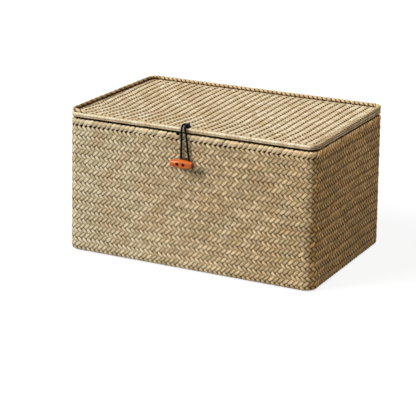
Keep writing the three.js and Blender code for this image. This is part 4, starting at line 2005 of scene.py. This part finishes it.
@dataclass(frozen=True)
class RimRope:
    """The lid's rope border: a strip wound round a core, low along the front."""

    plan: Plan
    bottom: float = 0.10715
    height: float = 0.00285
    width: float = 0.0031
    inset: float = 0.0001
    front_share: float = 0.06
    fade: float = 0.012
    recess: float = 0.0008
    left_fade_start: float = 0.0900
    left_fade_end: float = 0.0950
    wrap_pitch: float = 0.0038
    left_wrap_pitch: float = 0.0072
    front_start_share: float = 0.4
    front_start_fade: float = 0.02
    wrap_least_tone: float = 0.15
    wrap_samples: int = 6001
    wrap_steps: int = 16
    wrap_fill_share: float = 0.90
    wrap_crown_share: float = 0.42
    wrap_lift_share: float = 0.05
    wrap_across: Shares = (-0.5, -0.3, 0.0, 0.3, 0.5, 0.2, -0.2)
    wrap_up: Shares = (0.0, 0.7, 1.0, 0.7, 0.0, -0.5, -0.5)
    wrap_edge_shade: float = 0.9
    wrap_crown_light: float = 1.3
    wrap_most_shade: float = 0.95
    inner_shade: float = 0.7
    inner_low: float = 0.35
    inner_high: float = 0.85
    left_browning_and_shade: float = 0.25
    left_inner_painted_shade: float = 0.6
    wrap_folds: int = 12
    core_bottom: float = 0.10635
    core_drop: float = 0.0001
    core_width_share: float = 0.62
    core_height_share: float = 0.36
    core_steps: int = 400
    core_sides: int = 8
    core_folds: int = 8
    seed: int = 98

    def seat(self, points: Array) -> Array:
        """Puts points of the rope's section, of unit height, to their places on the lid.

        Args:
            points: The points, whose third coordinate is from 0 at the bottom to 1 at the top.

        Returns:
            The points, set back along the front and at their real heights.
        """
        points[..., 1] += self.recess * self.plan.at_front(points)
        from_left = points[..., 0] + self.plan.half_length - self.plan.corner
        left = 1 - smoothstep(0.0, 1.0, from_left / self.fade)
        back = (points[..., 1] + self.plan.half_depth) / (2 * self.plan.half_depth)
        share = np.maximum(left, np.clip(back, 0.0, 1.0))
        share = self.front_share + (1 - self.front_share) * share
        top = self.bottom + self.height * share
        points[..., 2] = self.bottom + (top - self.bottom) * points[..., 2]
        return points

    def turns(self) -> tuple[Array, Array, Array]:
        """The wrapping's turns, close together at the back and long at the left.

        Returns:
            For each ring, its turn, its distance round the box and the pitch there.
        """
        front, side = self.plan.straights
        arc = self.plan.corner * math.pi / 2
        fine = np.linspace(0.0, self.plan.perimeter, self.wrap_samples)
        # The turns are long from half way round the corner between the back and the left.
        left_start = 2 * front + side + 2.5 * arc
        on_left = smoothstep(left_start, left_start + arc, fine)
        at_start = 1 - smoothstep(0.0, self.front_start_fade, fine)
        on_left = np.maximum(on_left, self.front_start_share * at_start)
        pitch = self.wrap_pitch + (self.left_wrap_pitch - self.wrap_pitch) * on_left
        turns = np.concatenate([[0.0], np.cumsum(1 / pitch[:-1]) * (fine[1] - fine[0])])
        total = round(turns[-1])
        turns = turns / turns[-1] * total
        turn = np.arange(total * self.wrap_steps) / self.wrap_steps
        walk = np.interp(turn, turns, fine)
        return turn, walk, np.interp(walk, fine, pitch)

    def build(self, finishes: Finishes) -> None:
        """Winds a strip round the rim and its core.

        Args:
            finishes: The box's finishes.
        """
        turn, walk, pitch = self.turns()
        number = np.floor(turn).astype(int)
        total = number[-1] + 1
        draw = np.random.default_rng(self.seed)
        own_tone = draw.uniform(self.wrap_least_tone, 1.0, total)
        own_lift = draw.uniform(-1, 1, total)
        width = pitch * self.wrap_fill_share
        up_share = np.array(self.wrap_up)
        angle = -2 * np.pi * turn[:, None]
        reach = 1 - self.wrap_crown_share * (1 - up_share)
        reach = reach + self.wrap_lift_share * own_lift[number][:, None]
        inset = self.inset + self.width / 2 * (1 - reach * np.cos(angle))
        unit = 0.5 + 0.5 * reach * np.sin(angle)
        across = walk[:, None] + np.array(self.wrap_across) * width[:, None]
        points = self.seat(self.plan.place(across, inset, unit))
        left = smoothstep(self.left_fade_start, self.left_fade_end, -points[..., 0])
        inner = 0.5 - 0.5 * np.cos(angle)
        # Painted shade on the lower inner side of the rope along the left.
        low = 1 - smoothstep(self.inner_low, self.inner_high, unit)
        low = self.inner_shade * left * inner * low
        # Painted shade at each wrap's edges and underside, none on its crown.
        edge = self.wrap_edge_shade - self.wrap_crown_light * up_share
        tuck = np.maximum(np.clip(edge, 0, self.wrap_most_shade), low)
        # Along the left the rope is browned, with painted shade on its inner side.
        age = left * (self.left_browning_and_shade + self.left_inner_painted_shade * inner)
        tone = own_tone[number][:, None]
        loft = LoftMesh("rim_wrapping")
        loft.add(points, closed=True, tone=tone, tuck=tuck, age=age, folds=self.wrap_folds)
        settle(loft.build(finishes.rim), Body.LID, Slot.CORD, "lid_rim_rope")
        self.core(finishes)

    def core(self, finishes: Finishes) -> None:
        """Lays the rope's core, flat underneath, painted in full shade.

        Args:
            finishes: The box's finishes.
        """
        angle = ring_angles(self.core_sides)
        walk = np.arange(self.core_steps)[:, None] / self.core_steps * self.plan.perimeter
        reach = self.core_width_share * np.cos(angle)
        inset = self.inset + self.width / 2 * (1 - reach)
        unit = 0.5 + self.core_height_share * np.sin(angle)
        points = self.seat(self.plan.place(walk, inset, unit))
        points[..., 2] -= self.core_drop
        points[..., self.core_sides // 2 + 1:, 2] = self.core_bottom
        loft = LoftMesh("rim_core")
        # Painted full shade over the whole core.
        loft.add(points, closed=True, tone=0.1, tuck=1.0, folds=self.core_folds)
        settle(loft.build(finishes.rim), Body.LID, Slot.CORD)


@dataclass(frozen=True)
class EdgeStrand:
    """A strand laid round the lid, with the ticks of its own wrapping and shade painted in them."""

    plan: Plan
    name: str
    node: str
    height: float
    radius: float
    front_recess: float = 0.0
    age: float = 0.0
    inset: float = 0.0002
    wrap_length: float = 0.0031
    wrap_steps: int = 10
    sides: int = 12
    folds: int = 10
    relief: float = 0.09
    least_tone: float = 0.25
    under_start: float = -0.2
    under_full: float = 0.6
    tick_power: int = 6
    tick_shade: float = 0.3
    shade: float = 0.04
    right_browned_shade: float = 0.8
    seed: int = 99

    def build(self, finishes: Finishes) -> None:
        """Lays the strand.

        Args:
            finishes: The box's finishes.
        """
        perimeter = self.plan.perimeter
        wraps = round(perimeter / self.wrap_length)
        count = self.wrap_steps * wraps
        walk = np.arange(count) / count * perimeter
        path = self.plan.place(walk, self.inset + self.radius, self.height)
        path[:, 1] += self.front_recess * self.plan.at_front(path)
        angle = ring_angles(self.sides)
        draw = np.random.default_rng(self.seed)
        own_tone = draw.uniform(self.least_tone, 1.0, wraps)
        turn = walk[:, None] / perimeter * wraps + 0.5 * np.cos(angle)
        tone = own_tone[np.floor(turn + 0.5).astype(int) % wraps]
        tick = np.abs(np.cos(np.pi * turn)) ** self.tick_power
        radius = self.radius * (1 - self.relief * tick)
        rings = tube_rings(path, radius, self.sides, closed=True)
        # Browning: the strand's own, and on the right painted shade.
        age = np.maximum(self.age, self.right_browned_shade * self.plan.on_right(rings))
        # Where the strand is browned, painted shade on its lower half.
        below = (self.height - rings[..., 2]) / self.radius
        under = smoothstep(self.under_start, self.under_full, below) * (self.age > 0)
        # Painted shade in the ticks between wraps, and a little all over.
        tuck = np.maximum(self.shade + self.tick_shade * tick, under)
        loft = LoftMesh(self.name)
        loft.add(rings, closed=True, tone=tone, tuck=tuck, age=age, folds=self.folds)
        settle(loft.build(finishes.lid), Body.LID, Slot.CORD, self.node)


@dataclass(frozen=True)
class HingeTie:
    """A twisted cord that ties the lid to the basket, and the knot that closes it."""

    side: Side
    bend: float = 0.0017
    bend_steps: int = 6
    straight_step: float = 0.00025
    ply_radius: float = 0.00044
    ply_offset: float = 0.00036
    ply_sides: int = 8
    lay: float = 0.0052
    zone_low: float = 0.1024
    zone_high: float = 0.1046
    knot_cord_share: float = 0.24
    knot_steps: int = 60
    knot_sides: int = 10
    shade: float = 0.1

    def loop_path(self) -> Array:
        """The closed centre line of the tie, round the border and the lid's lower edge."""
        low, high = node_box(f"hinge_tie_{self.side.value}")
        half = (high[0] - low[0]) / 2
        x = (low[0] + high[0]) / 2
        low, high = low[1:] + half + self.bend, high[1:] - half - self.bend
        centres = [(high[0], high[1]), (low[0], high[1]), (low[0], low[1]), (high[0], low[1])]
        arcs = [
            [
                (x, y + self.bend * math.cos(turn), z + self.bend * math.sin(turn))
                for turn in np.linspace(quarter, quarter + 1, self.bend_steps + 1) * math.pi / 2
            ]
            for quarter, (y, z) in enumerate(centres)
        ]
        points = []
        for arc, after in zip(arcs, [*arcs[1:], arcs[0]]):
            points += arc
            last, ahead = np.array(arc[-1]), np.array(after[0])
            steps = max(1, round(np.linalg.norm(ahead - last) / self.straight_step))
            points += [tuple(last + (ahead - last) * step / steps) for step in range(1, steps)]
        return np.array(points)

    def build(self, finishes: Finishes) -> None:
        """Twists the tie, bends it across the hinge and ties its knot.

        Args:
            finishes: The box's finishes.
        """
        path = self.loop_path()
        run = run_of(path)
        whole = run[-1] + np.linalg.norm(path[0] - path[-1])
        across, up = path_frames(path, closed=True)
        turns = round(whole / self.lay)
        loft = LoftMesh(f"hinge_tie_cord_{self.side.value}")
        for ply in (0.0, 0.5):
            angle = 2 * np.pi * (run / whole * turns + ply)[:, None]
            centre = path + self.ply_offset * (across * np.cos(angle) + up * np.sin(angle))
            rings = tube_rings(centre, self.ply_radius, self.ply_sides, closed=True)
            loft.add(rings, closed=True, tone=0.3 + ply, tuck=self.shade, folds=2)
        tie = loft.build(finishes.cord)
        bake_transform(tie)
        enter(tie, Slot.CORD, f"hinge_tie_{self.side.value}")
        self.knot(finishes)

    def knot(self, finishes: Finishes) -> None:
        """Ties the knot inside the basket.

        Args:
            finishes: The box's finishes.
        """
        node = f"hinge_tie_knot_{self.side.value}"
        low, high = node_box(node)
        radius = (high[0] - low[0]) * self.knot_cord_share
        path = overhand_path(low, high, radius, self.knot_steps)
        rings = tube_rings(path, radius, self.knot_sides, closed=True)
        loft = LoftMesh(f"hinge_tie_stopper_{self.side.value}")
        loft.add(rings, closed=True, tone=0.5, tuck=self.shade)
        settle(loft.build(finishes.cord), Body.BASKET, Slot.CORD, node)


def main() -> None:
    logging.basicConfig(level=logging.INFO, format="%(message)s")
    studio = Studio()
    studio.camera()
    braid = BraidedCord()
    toggle = Toggle(braid)
    finishes = Finishes(toggle.middle()[0] + toggle.length / 2)
    ClosureLoop(braid).build(finishes)
    toggle.cord(finishes)
    toggle.barrel(finishes)
    plan = Plan()
    basket = Basket(plan)
    basket.build(finishes)
    Border(basket).build(finishes)
    for side in (Side.LEFT, Side.RIGHT):
        HingeTie(side).build(finishes)
    LidPanel(plan).build(finishes)
    RimRope(plan).build(finishes)
    upper = EdgeStrand(plan, "edge_strand_upper", "lid_edge_strand_upper", 0.10605, 0.00125)
    upper.build(finishes)
    lower = EdgeStrand(
        plan, "edge_strand_lower", "lid_edge_strand_lower", 0.10440, 0.00052,
        front_recess=0.0003, age=0.5,
    )
    lower.build(finishes)
    studio.light()
    studio.floor()
    bpy.context.scene.view_settings.view_transform = "Standard"


if __name__ == "__main__":
    main()
